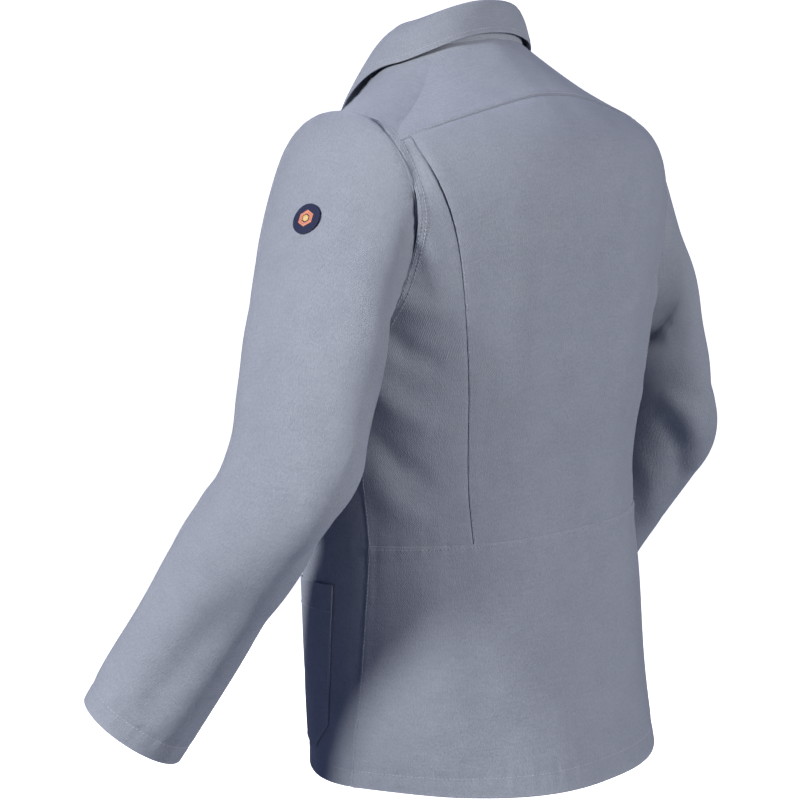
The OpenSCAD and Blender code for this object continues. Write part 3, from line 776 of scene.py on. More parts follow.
def twisted_thread(name, colour, roughness=0.55, sheen=0.2):
    """Sewing or embroidery thread: twisted strands with a soft gloss."""
    material, tree, shader = new_material(name)
    place = tree.nodes.new("ShaderNodeTexCoord").outputs["Object"]
    tone = noise(tree, place, 260, 3)
    base = blend_colour(tree, tone, tuple(0.72 * c for c in colour), tuple(min(1, 1.25 * c) for c in colour))
    tree.links.new(base, shader.inputs["Base Color"])
    twist = tree.nodes.new("ShaderNodeTexWave")
    twist.bands_direction = "DIAGONAL"
    twist.inputs["Scale"].default_value = 900
    twist.inputs["Distortion"].default_value = 1.5
    tree.links.new(place, twist.inputs["Vector"])
    bump = node(tree, "ShaderNodeBump", Strength=0.4, Distance=0.0001)
    tree.links.new(twist.outputs["Fac"], bump.inputs["Height"])
    tree.links.new(bump.outputs[0], shader.inputs["Normal"])
    shader.inputs["Roughness"].default_value = roughness
    shader.inputs["Sheen Weight"].default_value = sheen
    return material


def dull_nickel(name):
    """Snap metal with fine scratches and darker hollows."""
    material, tree, shader = new_material(name)
    place = tree.nodes.new("ShaderNodeTexCoord").outputs["Object"]
    smudge = noise(tree, place, 90, 4)
    base = blend_colour(tree, smudge, (0.30, 0.30, 0.32), (0.58, 0.58, 0.60))
    tree.links.new(base, shader.inputs["Base Color"])
    rough = calc(tree, "ADD", calc(tree, "MULTIPLY", smudge, 0.3), 0.22)
    tree.links.new(rough, shader.inputs["Roughness"])
    scratch = node(tree, "ShaderNodeBump", Strength=0.15, Distance=0.0001)
    tree.links.new(noise(tree, place, 900, 2), scratch.inputs["Height"])
    tree.links.new(scratch.outputs[0], shader.inputs["Normal"])
    shader.inputs["Metallic"].default_value = 1.0
    return material


SHELL_COLOUR = (0.265, 0.284, 0.332)
SHELL_TWILL = twill("Outer_twill", SHELL_COLOUR, (0.205, 0.221, 0.264), (0.325, 0.345, 0.396))
LINING_TWILL = twill("Lining_twill", (0.21, 0.22, 0.28), (0.17, 0.18, 0.235), (0.25, 0.262, 0.325), sheen=0.2)
TAPE = twill("Hanger_tape", (0.22, 0.23, 0.28), (0.18, 0.19, 0.24), (0.27, 0.28, 0.34), rib=0.8)
LABEL = twill(
    "Label_cloth", (0.7, 0.7, 0.72), (0.6, 0.6, 0.62), (0.8, 0.8, 0.82), rib=0.4, depth=0.0001, sheen=0.1
)
BADGE_GROUND = twill(
    "Badge_ground", (0.016, 0.02, 0.055), (0.010, 0.013, 0.036), (0.024, 0.03, 0.078), rib=0.7
)
SEAM_THREAD = twisted_thread("Seam_thread", (0.36, 0.375, 0.43))
BORDER_THREAD = twisted_thread("Border_thread", (0.78, 0.79, 0.82))
EMBLEM_THREAD = twisted_thread("Emblem_thread", (0.66, 0.25, 0.15))
CENTRE_THREAD = twisted_thread("Emblem_centre_thread", (0.72, 0.5, 0.16))
SNAP_METAL = dull_nickel("Snap_metal")

MATERIAL_SLOTS = {
    "shell_twill": SHELL_TWILL, "lining_twill": LINING_TWILL, "hanger_tape": TAPE, "label_cloth": LABEL,
    "snap_metal": SNAP_METAL, "badge_ground": BADGE_GROUND, "border_thread": BORDER_THREAD,
    "emblem_thread": EMBLEM_THREAD,
}


def finish_piece(obj, material, slot_name=None, *nodes):
    """Gives a piece its material, and hides the CAD nodes it stands for. slot_name is not used."""
    obj.data.materials.append(material)
    if nodes:
        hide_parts(*nodes)
    return obj


def shell_piece(obj, *nodes):
    return finish_piece(obj, SHELL_TWILL, "shell_twill", *nodes)


def bend(obj):
    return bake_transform(obj)


def with_front(obj):
    return bend(obj)


# ---------------------------------------------------------------- back
def make_back():
    made = []
    u, w = net(230, 34)
    t = mix(SHOULDER_SEAM, 180 - SHOULDER_SEAM, u)
    side_t = np.minimum(t, 180 - t)
    r = np.clip(side_t / np.where(side_t >= 0, ARM_BACK, ARM_FRONT), -1, 1)
    arm_top = ARM_LEVEL + ARM_HALF * np.sqrt(1 - r * r)
    low = np.maximum(yoke_level(np.maximum(side_t, YOKE_END - 2)), np.where(np.abs(r) >= 1, 0, arm_top))
    v = mix(low, NECK, w)
    lift = lap((v - low) * LEVEL_MM) * ease(side_t / 8 + 3.4)
    lift = lift + lap((side_t - SHOULDER_SEAM) * TURN_MM * 0.6)
    made.append(shell_piece(shell("Back_yoke", Grid(on_torso(t, v, lift)), rub=0.0), "back_yoke"))

    u, w = net(84, 112)
    extra = LAP / LEVEL_MM
    v_line = mix(WAIST, 7.35, w)
    edge = pleat_line(v_line)
    t = mix(edge, 180 - edge, u)
    v = mix(WAIST - extra, yoke_level(t) + extra, w)
    away = np.minimum(t - edge, 180 - edge - t) * TURN_MM
    proud = 0.55 + 1.1 * np.exp(-(((v - 6.5) / 0.8) ** 2))
    lift = proud * (1 - ease(away / 26)) + tuck((WAIST - v) * LEVEL_MM) + tuck((v - yoke_level(t)) * LEVEL_MM)
    made.append(shell_piece(shell("Back_centre_panel", Grid(on_torso(t, v, lift))), "back_centre_panel"))

    for side in (LEFT, RIGHT):
        u, w = net(44, 118)
        join = 0.4
        below = mix(WAIST - extra, armhole(PSI_SIDE)[1], np.clip(w / join, 0, 1))
        psi = mix(PSI_SIDE, PSI_YOKE - 6, np.clip((w - join) / (1 - join), 0, 1))
        arm_t, arm_v = armhole(psi)
        edge_t, edge_v = np.where(w < join, side_seam(below), arm_t), np.where(w < join, below, arm_v)
        v_line = mix(WAIST - extra, yoke_level(36) + extra, w)
        t, v = mix(edge_t, pleat_line(v_line) + 7, u), mix(edge_v, v_line, u)
        width = (pleat_line(v_line) + 7 - edge_t) * TURN_MM
        past = (t - pleat_line(v)) * TURN_MM
        under = -1.3 * ease((past + 3) / 6) - 1.7 * ease((past + 8) / 20) * np.exp(-(((v - 6.5) / 0.8) ** 2))
        lift = lap(u * width) + tuck((WAIST - v) * LEVEL_MM) + tuck((v - yoke_level(t)) * LEVEL_MM) + under
        name = SIDE_NAMES[side]
        piece = shell("Back_side_panel_" + name, Grid(on_torso(t, v, lift, side)), side=side)
        made.append(shell_piece(piece, "back_side_panel_" + name, "pleat_underlay_" + name))

    u, w = net(250, 62)
    v = mix(0, WAIST, w)
    t = mix(side_seam(v), 180 - side_seam(v), u)
    away = np.minimum(t - side_seam(v), 180 - side_seam(v) - t) * TURN_MM
    lift = lap((WAIST - v) * LEVEL_MM) + lap(away)
    thick = mix(TURNED, PLY, ease((v * LEVEL_MM - 18) / 3))
    made.append(shell_piece(shell("Back_skirt", Grid(on_torso(t, v, lift)), thick), "back_skirt"))

    for piece in made:
        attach(piece, "torso")

    inset = 6.0
    t = np.linspace(YOKE_END + 1, 179 - YOKE_END, 120)
    sew_torso("torso", t, yoke_level(t) + 2 / LEVEL_MM, 1.25)
    sew_torso("torso", np.linspace(12, 168, 120), WAIST - 2.2 / LEVEL_MM, 1.25)
    for side in (LEFT, RIGHT):
        levels = np.linspace(WAIST + 0.03, 7.05, 90)
        sew_torso("torso", pleat_line(levels) + 1.3 / TURN_MM, levels, 0.6, side)
        psi = np.linspace(PSI_SHOULDER - 360 + 2, PSI_SIDE - 4, 160)
        sew_torso("torso", *beside_armhole(psi, 2.0), 1.25, side)
        sew_torso("torso", *beside_armhole(psi, 2.0 + inset), 0.9, side)
        levels = np.linspace(0.05, WAIST - 0.02, 80)
        sew_torso("torso", side_seam(levels) + 2.0 / TURN_MM, levels, 1.25, side)
        levels = np.linspace(WAIST + 0.02, 4.45, 60)
        sew_torso("torso", side_seam(levels) + 2.0 / TURN_MM, levels, 1.25, side)
        levels = np.linspace(7.5, 8.95, 40)
        for away in (1.4, 5.0):
            sew_torso("torso", SHOULDER_SEAM + away / 2.2, levels, 1.2, side)
    t = np.linspace(side_seam(HEM_LINE) + 1, 179 - side_seam(HEM_LINE), 200)
    sew_torso("torso", t, HEM_LINE, 0.0)


# ---------------------------------------------------------------- fronts
FRONT_LAP, FACING_W, FLY_W = 18.0, 55.0, 26.0
LAP_DROP, LAP_FROM, LAP_TO, CALM_LEVEL = 9.6, 34.0, 14.0, 7.6


def angle_at(x, v):
    """Angle at which the front lies x mm from the centre line, on the left side."""
    half = spline(TORSO, v)[..., 0]
    return -90 + np.sign(x) * np.degrees(np.arcsin((np.abs(x) / half) ** (FRONT_ROUNDNESS / 2)))


def on_front(t, v, lift=0.0, side=LEFT):
    """A front's outer face. The right front passes behind the left one near the centre line.
    Above the calm level the surface curls in to the neck, so the drop keeps that level's direction."""
    p = on_torso(t, v, lift, side)
    if side == LEFT:
        return p
    drop = LAP_DROP * ease((LAP_FROM - torso(t, v)[..., 0] / MM) / (LAP_FROM - LAP_TO))
    return p - torso_normal(t, np.minimum(v, CALM_LEVEL)) * drop[..., None] * MM


def front_net(nu, nw):
    """[t, v] of a front: from its centre edge to the side seam, the armhole and the shoulder seam."""
    u, w = net(nu, nw)
    w1, w2, w3 = 0.485, 0.505, 0.83
    past = LAP / TURN_MM
    v_low = mix(0, ARMPIT, np.clip(w / w1, 0, 1))
    low = side_seam(v_low) + past
    across = mix(SIDE_SEAM_TOP + past, 0, np.clip((w - w1) / (w2 - w1), 0, 1))
    arm_t, arm_v = armhole(mix(180, PSI_SHOULDER, np.clip((w - w2) / (w3 - w2), 0, 1)))
    top = np.clip((w - w3) / (1 - w3), 0, 1)
    high_v = mix(armhole(PSI_SHOULDER)[1], NECK, top)
    high_t = SHOULDER_SEAM + 3.0 * ease(top * 4)
    edge_t = np.select([w < w1, w < w2, w < w3], [low, across, arm_t], high_t)
    edge_v = np.select([w < w1, w < w2, w < w3], [v_low, np.full_like(w, ARMPIT), arm_v], high_v)
    v_line = NECK * w
    t, v = mix(angle_at(-FRONT_LAP, v_line), edge_t, u), mix(v_line, edge_v, u)
    lapped = (w >= w2) & (w <= w3)
    width = (edge_t - angle_at(-FRONT_LAP, v_line)) * TURN_MM
    lift = np.where(lapped, lap((1 - u) * width), 0)
    lift = lift + np.where(w < w2, tuck((t - side_seam(np.minimum(v, ARMPIT))) * TURN_MM), 0)
    lift = lift + np.where(w > w3, tuck((t - SHOULDER_SEAM) * TURN_MM), 0)
    return t, v, lift


def strip(v0, v1, x0, x1, nu, nw):
    u, w = net(nu, nw)
    v = mix(v0, v1, w)
    return angle_at(mix(x0, x1, u), v), v


def patch(side, corners, nu, nw, base, thick=PLY):
    """A patch of cloth between four [t, v] corners (bottom inner, bottom outer, top outer, top inner)."""
    u, w = net(nu, nw)
    (t0, v0), (t1, v1), (t2, v2), (t3, v3) = corners
    t = mix(mix(t0, t1, u), mix(t3, t2, u), w)
    v = mix(mix(v0, v1, u), mix(v3, v2, u), w)
    return Grid(on_torso(t, v, base, side))


def sew_outline(group, side, outline, lift):
    t, v = zip(*outline)
    for a in range(len(outline) - 1):
        sew_torso(group, np.linspace(t[a], t[a + 1], 30), np.linspace(v[a], v[a + 1], 30), lift, side)


CHEST = dict(inner=-82.0, outer=-60.0, low=4.85, high=6.15)
FLAP = dict(top=6.45, drop=0.5, over=0.8)
POCKET_FRONT, POCKET_LOW, POCKET_HIGH = -65.0, 0.43, 2.2
BEVEL = ((-24.0, 0.43), (-12.5, 0.78))
POCKET_BACK_TOP = -5.5


def make_front(side):
    name = SIDE_NAMES[side]
    group = "front_" + name
    t, v, lift = front_net(96, 170)
    thick = mix(TURNED, PLY, ease((v * LEVEL_MM - 18) / 3))
    grid = Grid(on_front(t, v, lift, side))
    panel = shell_piece(
        shell("Front_panel_" + name, grid, thick, side=side),
        "front_panel_" + name, "front_side_" + name, "front_fold_" + name,
    )
    with_front(panel)

    t, v = strip(0.05, NECK - 0.8, -FRONT_LAP, FACING_W, 20, 150)
    grid = Grid(on_front(t, v, -2.6, side))
    facing = shell("Front_facing_" + name, grid, side=side)
    finish_piece(facing, LINING_TWILL, "lining_twill", "front_facing_" + name)
    with_front(facing)

    corners = ((CHEST["inner"], CHEST["low"]), (CHEST["outer"], CHEST["low"]),
               (CHEST["outer"], CHEST["high"]), (CHEST["inner"], CHEST["high"]))
    pocket = shell("Chest_pocket_" + name, patch(side, corners, 28, 34, 2.3), 1.5, side=side)
    with_front(shell_piece(pocket, "chest_pocket_" + name))
    inset = 0.5
    outline = [(CHEST["inner"] + inset, CHEST["high"]), (CHEST["inner"] + inset, CHEST["low"] + 0.03),
               (CHEST["outer"] - inset, CHEST["low"] + 0.03), (CHEST["outer"] - inset, CHEST["high"])]
    sew_outline(group, side, outline, 2.4)

    # lower patch pocket: its back edge slants and its lower back corner is cut off
    u, w = net(60, 52)
    bevel = 0.2
    back_t = np.where(w < bevel, mix(BEVEL[0][0], BEVEL[1][0], w / bevel),
                      mix(BEVEL[1][0], POCKET_BACK_TOP, (w - bevel) / (1 - bevel)))
    back_v = np.where(w < bevel, mix(BEVEL[0][1], BEVEL[1][1], w / bevel),
                      mix(BEVEL[1][1], POCKET_HIGH, (w - bevel) / (1 - bevel)))
    t, v = mix(POCKET_FRONT, back_t, u), mix(mix(POCKET_LOW, POCKET_HIGH, w), back_v, u)
    bulge = 1.6 * np.sin(np.pi * u) ** 0.8 * np.sin(np.pi * w) ** 0.8 + 0.8 * u * w**3
    pocket = shell("Lower_pocket_" + name, Grid(on_torso(t, v, 1.6 + bulge, side)), 1.4, side=side)
    with_front(shell_piece(pocket, "lower_pocket_" + name))
    outline = [(POCKET_FRONT + inset, POCKET_HIGH), (POCKET_FRONT + inset, POCKET_LOW + 0.03),
               (BEVEL[0][0] - inset, POCKET_LOW + 0.03), (BEVEL[1][0] - inset, BEVEL[1][1]),
               (POCKET_BACK_TOP - inset, POCKET_HIGH)]
    sew_outline(group, side, outline, 1.75)
    top = [(POCKET_FRONT + 0.2, POCKET_HIGH - 0.24), (POCKET_BACK_TOP - 0.6, POCKET_HIGH - 0.24)]
    sew_outline(group, side, top, 3.0)

    # hem stitches, and topstitching down the front edge
    t = np.linspace(angle_at(-FRONT_LAP + 3, HEM_LINE), side_seam(HEM_LINE) - 0.4, 90)
    sew_torso(group, t, HEM_LINE, 0.0, side, surface=on_front)
    if side == RIGHT:
        levels = np.linspace(0.1, NECK - 0.6, 160)
        for x in (-15.0, 22.0):
            sew_torso(group, angle_at(x, levels), levels, 0.0, side, surface=on_front)


def make_flap(side):
    name = SIDE_NAMES[side]
    inner, outer = CHEST["inner"] - FLAP["over"], CHEST["outer"] + FLAP["over"]
    low = FLAP["top"] - FLAP["drop"]
    corners = ((inner, low), (outer, low), (outer, FLAP["top"]), (inner, FLAP["top"]))
    flap = shell("Chest_flap_" + name, patch(side, corners, 30, 16, 5.4), 1.7, side=side)
    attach(shell_piece(flap, "chest_flap_" + name), "flap_" + name)
    group = "flap_" + name
    inset_t, inset_v = 0.5, 0.03
    outline = [(inner + inset_t, FLAP["top"] - inset_v), (inner + inset_t, low + inset_v),
               (outer - inset_t, low + inset_v), (outer - inset_t, FLAP["top"] - inset_v),
               (inner + inset_t, FLAP["top"] - inset_v)]
    sew_outline(group, side, outline, 5.45)


def make_fly():
    t, v = strip(0.05, NECK - 0.6, -FRONT_LAP - 1, FLY_W, 14, 170)
    fly = shell("Fly_cover", Grid(on_torso(t, v, 1.9)), 1.4)
    with_front(shell_piece(fly, "fly_cover"))
    levels = np.linspace(0.1, NECK - 0.65, 170)
    for x in (-16.0, 17.5, 23.5):
        sew_torso("front_left", angle_at(x, levels), levels, 1.95)


# ---------------------------------------------------------------- collar
STAND_FRONT, STAND_BACK, FALL_FRONT, FALL_BACK = 14.0, 36.0, 45.0, 29.0
FALL_OUT_FRONT, FALL_OUT_BACK, STAND_LEAN, FALL_BOW = 40.0, 6.0, 0.15, 0.6
COLLAR_END, COLLAR_SPREAD = -87.0, 15.0
TIP_FROM, TIP_DROP, TIP_OUT = -35.0, 20.0, 4.0
UP = np.array([0, 0, 1.0])


def neck_out(t):
    p = torso(t, np.full_like(t, NECK)) - [0, 5 * MM, 0]
    p[..., 2] = 0
    return unit(p)


def nape(t):
    return (1 + np.sin(np.radians(t))) / 2


def stand_at(t, s, d):
    height = mix(STAND_FRONT, STAND_BACK, nape(t))[..., None]
    s = np.asarray(s)[..., None]
    d = np.asarray(d)[..., None] if np.ndim(d) else d
    lean = d - STAND_LEAN * height * s
    return torso(t, np.full_like(t, NECK)) + (UP * height * s + neck_out(t) * lean) * MM


def fall_at(t, s, d):
    tip = ease((TIP_FROM - t) / (TIP_FROM - COLLAR_END))
    drop = (mix(FALL_FRONT, FALL_BACK, nape(t)) + TIP_DROP * tip)[..., None]
    out = (mix(FALL_OUT_FRONT, FALL_OUT_BACK, nape(t)) + TIP_OUT * tip)[..., None]
    s = np.asarray(s)
    move = neck_out(t) * out * (s**FALL_BOW)[..., None] - UP * drop * s[..., None]
    return stand_at(t, np.ones_like(s), d) + move * MM


def collar_profile(t, w):
    """Up the inside of the stand, over the roll and down the outside of the fall."""
    stand, roll = 0.34, 0.46
    inner, outer, rise = -1.6, 2.9, 1.7
    up = stand_at(t, mix(0.0, 1, np.clip(w / stand, 0, 1)), inner)
    a = np.pi * np.clip((w - stand) / (roll - stand), 0, 1)
    middle, reach = (inner + outer) / 2, (outer - inner) / 2
    over = stand_at(t, np.ones_like(w), middle - reach * np.cos(a)) + UP * (rise * np.sin(a))[..., None] * MM
    s = np.clip((w - roll) / (1 - roll), 0, 1)
    down = fall_at(t + COLLAR_SPREAD * s * ease((TIP_FROM - t) / (TIP_FROM - COLLAR_END)), s, outer)
    p = np.where((w < stand)[..., None], up, np.where((w < roll)[..., None], over, down))
    wave = 0.5 * np.sin(0.11 * t + 3.0 * w) + 0.3 * np.sin(0.23 * t - 5 * w + 1)
    return p + neck_out(t) * (wave * ease((w - roll) / 0.2))[..., None] * MM


def make_collar():
    for side in (LEFT, RIGHT):
        name = SIDE_NAMES[side]
        columns = 96
        past = 3
        u, w = net(columns + past, 46)
        t = mix(90 + past * (90 - COLLAR_END) / columns, COLLAR_END, u)
        grid = Grid(collar_profile(t, w))
        grid = grid.part(slice(past, None), slice(None))
        collar = shell_piece(
            shell("Collar_" + name, grid, 2.0, rims="bcd", side=side),
            "collar_stand", "collar_fall", "collar_point_" + name,
        )
        with_front(collar)
        s = 0.93
        t = np.linspace(89.7, COLLAR_END + 3, 90)
        line = Grid(collar_profile(np.stack([t, t, t], 1), np.broadcast_to([s - 0.02, s, s + 0.02], (90, 3))))
        sew("front_" + name, line.p[:, 1], line.n[:, 1], side)
        w = np.linspace(0.5, s, 24)
        end = np.full(24, COLLAR_END + 3.0)
        line = Grid(collar_profile(np.stack([end, end - 1, end - 2], 1), np.stack([w, w, w], 1)), outward=-1)
        sew("front_" + name, line.p[:, 0], line.n[:, 0] * -1, side)


def make_neck():
    """Tape over the neck seam, blank label and hanger loop inside the back of the neck."""
    u, w = net(90, 8)
    grid = Grid(on_torso(mix(0, 180, u), mix(NECK - 0.3, NECK - 0.05, w), -2.5))
    tape = finish_piece(shell("Neck_tape", grid), LINING_TWILL, "lining_twill", "neck_tape")
    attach(tape, "torso")

    u, w = net(30, 20)
    grid = Grid(on_torso(mix(72, 108, u), mix(NECK - 0.85, NECK - 0.36, w), -2.6))
    label = finish_piece(shell("Neck_label", grid, 0.8), LABEL, "label_cloth", "neck_label")
    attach(label, "torso")

    low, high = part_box("hanger_loop")
    middle, band = (low + high) / 2, 4.0 * MM
    radius = (high.x - low.x) / 2 - band / 2
    u, w = net(60, 6)
    a = np.pi * (1 + u)
    across = (w - 0.5) * band
    flat = 0.8 * MM * np.sin(3 * a)
    p = np.stack([
        middle.x + (radius + across) * np.cos(a),
        middle.y + flat - 0.3 * MM + 0 * a,
        high.z + (radius + across) * np.sin(a),
    ], -1)
    loop = finish_piece(shell("Hanger_loop", Grid(p, outward=-1), 1.2), TAPE, "hanger_tape", "hanger_loop")
    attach(loop, "loop")


# ---------------------------------------------------------------- sleeves
def make_sleeve(side):
    name = SIDE_NAMES[side]
    arm = Arm(side)
    around, rows = 132, 168
    u, w = net(around, rows)
    phi = SLEEVE_SEAM + 360 * u
    v = CUFF * w
    split = int(round(rows * ELBOW_SPLIT / CUFF))
    main = arm.at(phi, v, -1.0 * (1 - ease(v / 0.12)))
    # the seam allowance runs on under the torso's edge
    tucked = []
    for away, drop in ((LAP, -2.6), (6.0, -2.4), (3.0, -2.2)):
        t, level = beside_armhole(phi[:, 0], away)
        tucked.append(on_torso(t, level, drop, side))
    p = np.concatenate([np.stack(tucked, 1), main], 1)
    grid = Grid(p, wrap=True, outward=-1)
    whole = np.concatenate([np.zeros((around + 1, 3)), v], 1)
    thick = mix(PLY, TURNED, ease((whole - 8.68) / 0.04))
    split += 3

    upper = shell_piece(
        shell("Sleeve_upper_" + name, grid.part(slice(None), slice(None, split + 1)), thick[:, :split + 1],
              rims="c", side=side),
        "sleeve_head_" + name, "sleeve_bend_" + name, "upper_sleeve_" + name,
    )
    bend(upper)
    lower = shell_piece(
        shell("Sleeve_lower_" + name, grid.part(slice(None), slice(split, None)), thick[:, split:],
              rims="d", side=side),
        "elbow_" + name, "forearm_" + name,
    )
    bend(lower)

    turn = np.linspace(0, 360, 260)
    sew_sleeve("forearm_" + name, arm, turn, np.full(260, CUFF_LINE), 0.0)
    for away in (2.0, 8.0):
        seam = SLEEVE_SEAM - away / 1.1
        sew_sleeve("sleeve_" + name, arm, np.full(200, seam), np.linspace(0.15, ELBOW_SPLIT, 200))
        sew_sleeve("forearm_" + name, arm, np.full(200, seam), np.linspace(ELBOW_SPLIT, 8.95, 200))
    return arm


# ---------------------------------------------------------------- badge
BADGE_LEVEL = 2.5


def make_badge(arm):
    """Woven badge on the left sleeve: navy ground, merrowed border, a hexagon in satin stitch."""
    low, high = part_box("badge_border")
    radius = (high.z - low.z) / 2 / MM
    border = 1.7
    centre = sleeve(np.array(0.0), np.array(BADGE_LEVEL))
    out = sleeve_normal(np.array(0.0), np.array(BADGE_LEVEL))
    up = unit(UP - out * (UP @ out))
    right = np.cross(up, out)
    size = np.linalg.norm((sleeve(np.array(3.0), np.array(BADGE_LEVEL)) - centre)) / MM / 3
    tall = np.linalg.norm((sleeve(np.array(0.0), np.array(BADGE_LEVEL + 0.1)) - centre)) / MM / 0.1

    def at(a, b, lift):
        """A point of the badge a mm to the right, b mm up."""
        return arm.at(0.0 + a / size, BADGE_LEVEL - b / tall, 0 * a) * 0.35 + (
            centre + (right * a[..., None] + up * b[..., None]) * MM
        ) * 0.65 + out * np.asarray(lift + 0 * a)[..., None] * MM

    flip = 1 if (sleeve(np.array(3.0), np.array(BADGE_LEVEL)) - centre) @ right > 0 else -1
    size *= flip

    u, w = net(72, 14)
    r = (radius - border * 0.5) * w
    angle = 2 * np.pi * u
    a, b = r * np.cos(angle), r * np.sin(angle)
    grid = Grid(at(a, b, 2.6 - 0.5 * w**4), n=np.broadcast_to(out, u.shape + (3,)),
                uv=np.stack([a, b], -1) * MM, outward=-1)
    radius = cut_size(grid)[0][1]
    disc = shell("Badge_disc", grid, 1.4, rims="")
    finish_piece(disc, BADGE_GROUND, "badge_ground", "badge_disc")
    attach(disc, "torso")

    # merrowed border: slanting stitches wrapped round the rim.
    # Known fault: radius is in metres here, and mm is meant, so the border
    # collapses into the middle of the disc. A name of its own for the disc's radius cures it.
    stitches = 96
    u, w = net(stitches * 8, 20)
    angle, wrap = 2 * np.pi * u, 2 * np.pi * w
    ridge = 0.16 * np.abs(np.sin(0.5 * stitches * angle + 0.5 * wrap)) ** 0.7
    minor = border / 2 + ridge
    r = radius - border / 2 + minor * np.cos(wrap)
    lift = 2.0 + minor * 0.95 * np.sin(wrap)
    grid = Grid(at(r * np.cos(angle), r * np.sin(angle), lift), outward=1)
    verts = grid.p.reshape(-1, 3)
    quads = net_quads(np.arange(len(verts)).reshape(grid.p.shape[:2]))
    ring = add_mesh("Badge_border", verts, quads)
    finish_piece(ring, BORDER_THREAD, "border_thread", "badge_border")
    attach(ring, "torso")

    def satin(name, outer, inner, slant, lift):
        """Parallel satin stitches that fill a hexagon with a hexagonal hole."""
        pitch = 0.42
        rows = np.arange(-outer, outer, pitch)
        across = np.array([math.cos(slant), math.sin(slant)])
        along = np.array([-math.sin(slant), math.cos(slant)])
        for row in rows:
            s = np.linspace(-outer, outer, 120)
            xy = row * across + s[:, None] * along
            inside = (hexagon(xy, outer) & ~hexagon(xy, inner)).astype(int)
            starts = np.flatnonzero(np.diff(np.concatenate([[0], inside])) == 1)
            ends = np.flatnonzero(np.diff(np.concatenate([inside, [0]])) == -1)
            for i, j in zip(starts, ends):
                if j - i < 4:
                    continue
                line = at(xy[i:j + 1, 0], xy[i:j + 1, 1], lift)
                long = np.linalg.norm(line[-1] - line[0]) / MM
                length = long / max(1, round(long / 3.5)) - 0.12
                sew(name, line, np.broadcast_to(out, line.shape), length=length, gap=0.1, radius=0.25)
        verts, quads = join(thread.pop(name))
        return add_mesh(name, verts, quads)

    for name, material, outer, inner, slant, lift in (
        ("Badge_emblem", EMBLEM_THREAD, 8.6, 4.4, 0.5, 2.75),
        ("Badge_emblem_centre", CENTRE_THREAD, 3.6, 0.0, -0.6, 2.75),
    ):
        piece = finish_piece(satin(name, outer, inner, slant, lift), material, "emblem_thread")
        if name == "Badge_emblem":
            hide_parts("badge_emblem")
        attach(piece, "torso")


def hexagon(xy, radius):
    """Whether each point lies in an upright hexagon with that corner radius."""
    x, y = np.abs(xy[:, 0]), np.abs(xy[:, 1])
    return (x <= radius * 0.866) & (y + x * 0.577 <= radius)


def join(parts):
    verts, quads, count = [], [], 0
    for v, q in parts:
        verts.append(v)
        quads.append(q + count)
        count += len(v)
    return np.concatenate(verts), np.concatenate(quads)


# ---------------------------------------------------------------- snaps
def lathe(profile, sides=32):
    """Verts and quads of a turned shape: profile is [radius, height] in mm, along +Z."""
    r, z = np.array(profile, float).T
    a = np.linspace(0, 2 * np.pi, sides, endpoint=False)
    verts = np.stack([r[:, None] * np.cos(a), r[:, None] * np.sin(a), z[:, None] + 0 * a], -1) * MM
    return verts.reshape(-1, 3), tube_quads(np.arange(len(r) * sides).reshape(len(r), sides))


CAP = [(0.01, 1.5), (2.6, 1.45), (3.9, 1.1), (4.7, 0.7), (5.0, 0.3), (5.0, 0.0), (4.5, -0.1), (0.01, -0.1)]
SOCKET = [
    (0.01, 0.5), (1.9, 0.5), (2.2, 1.3), (3.3, 1.6), (4.6, 1.4),
    (5.9, 0.7), (6.0, 0.2), (5.8, 0.0), (0.01, 0.0),
]
STUD = [
    (0.01, 1.7), (1.5, 1.65), (1.9, 1.4), (1.8, 0.9), (2.6, 0.7),
    (5.2, 0.6), (6.0, 0.3), (5.9, 0.0), (0.01, 0.0),
]


def make_snaps(name, profile, body, side, places, surface, depth, inward=False):
    """Turned metal snaps at [t, v] places, standing at a depth (mm) on a surface of the cloth."""
    parts = []
    for t, v in places:
        t, v = np.array([t]), np.array([v])
        verts, quads = lathe(profile)
        out = torso_normal(t, v)[0] * (-1 if inward else 1)
        turn = np.array(Vector(out).to_track_quat("Z", "Y").to_matrix())
        verts = verts @ turn.T + surface(t, v, depth, side)[0]
        if side == RIGHT:
            verts, quads = verts * [-1, 1, 1], quads[:, ::-1]
        parts.append((verts, quads))
    verts, quads = join(parts)
    piece = finish_piece(add_mesh(name, verts, quads), SNAP_METAL, "snap_metal", name.lower())
    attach(piece, body)


FLY_SNAPS = [(-90.0, mix(0.7, 7.5, i / 5)) for i in range(6)]
FLAP_SNAPS = [
    (mix(CHEST["inner"], CHEST["outer"], share), FLAP["top"] - 0.7 * FLAP["drop"]) for share in (0.2, 0.8)
]


# ---------------------------------------------------------------- build
make_back()
make_fly()
make_neck()
make_collar()
for side in (LEFT, RIGHT):
    make_front(side)
    make_flap(side)
left_arm = make_sleeve(LEFT)
make_sleeve(RIGHT)
make_badge(left_arm)
make_snaps("Fly_snap_sockets", SOCKET, "front_left", LEFT, FLY_SNAPS, on_torso, -4.9, inward=True)
make_snaps("Fly_snap_studs", STUD, "front_right", RIGHT, FLY_SNAPS, on_front, 0.3)
for side in (LEFT, RIGHT):
    name = SIDE_NAMES[side]
    make_snaps("Flap_snap_caps_" + name, CAP, "flap_" + name, side, FLAP_SNAPS, on_torso, 5.4)

for group, parts in sorted(thread.items()):
    verts, quads = join(parts)
    piece = finish_piece(add_mesh("Thread_" + group, verts, quads), SEAM_THREAD)
    kind, _, where = group.partition("_")
    if kind == "front":
        with_front(piece)
    elif kind == "sleeve":
        bend(piece)
    elif kind == "forearm":
        bend(piece)
    else:
        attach(piece, group)

for slot_of in frame["record"]["subparts"]:
    carried = frame["nodes"][slot_of["node"]]
    carried.data.materials.clear()
    carried.data.materials.append(MATERIAL_SLOTS[slot_of["material_slot"]])


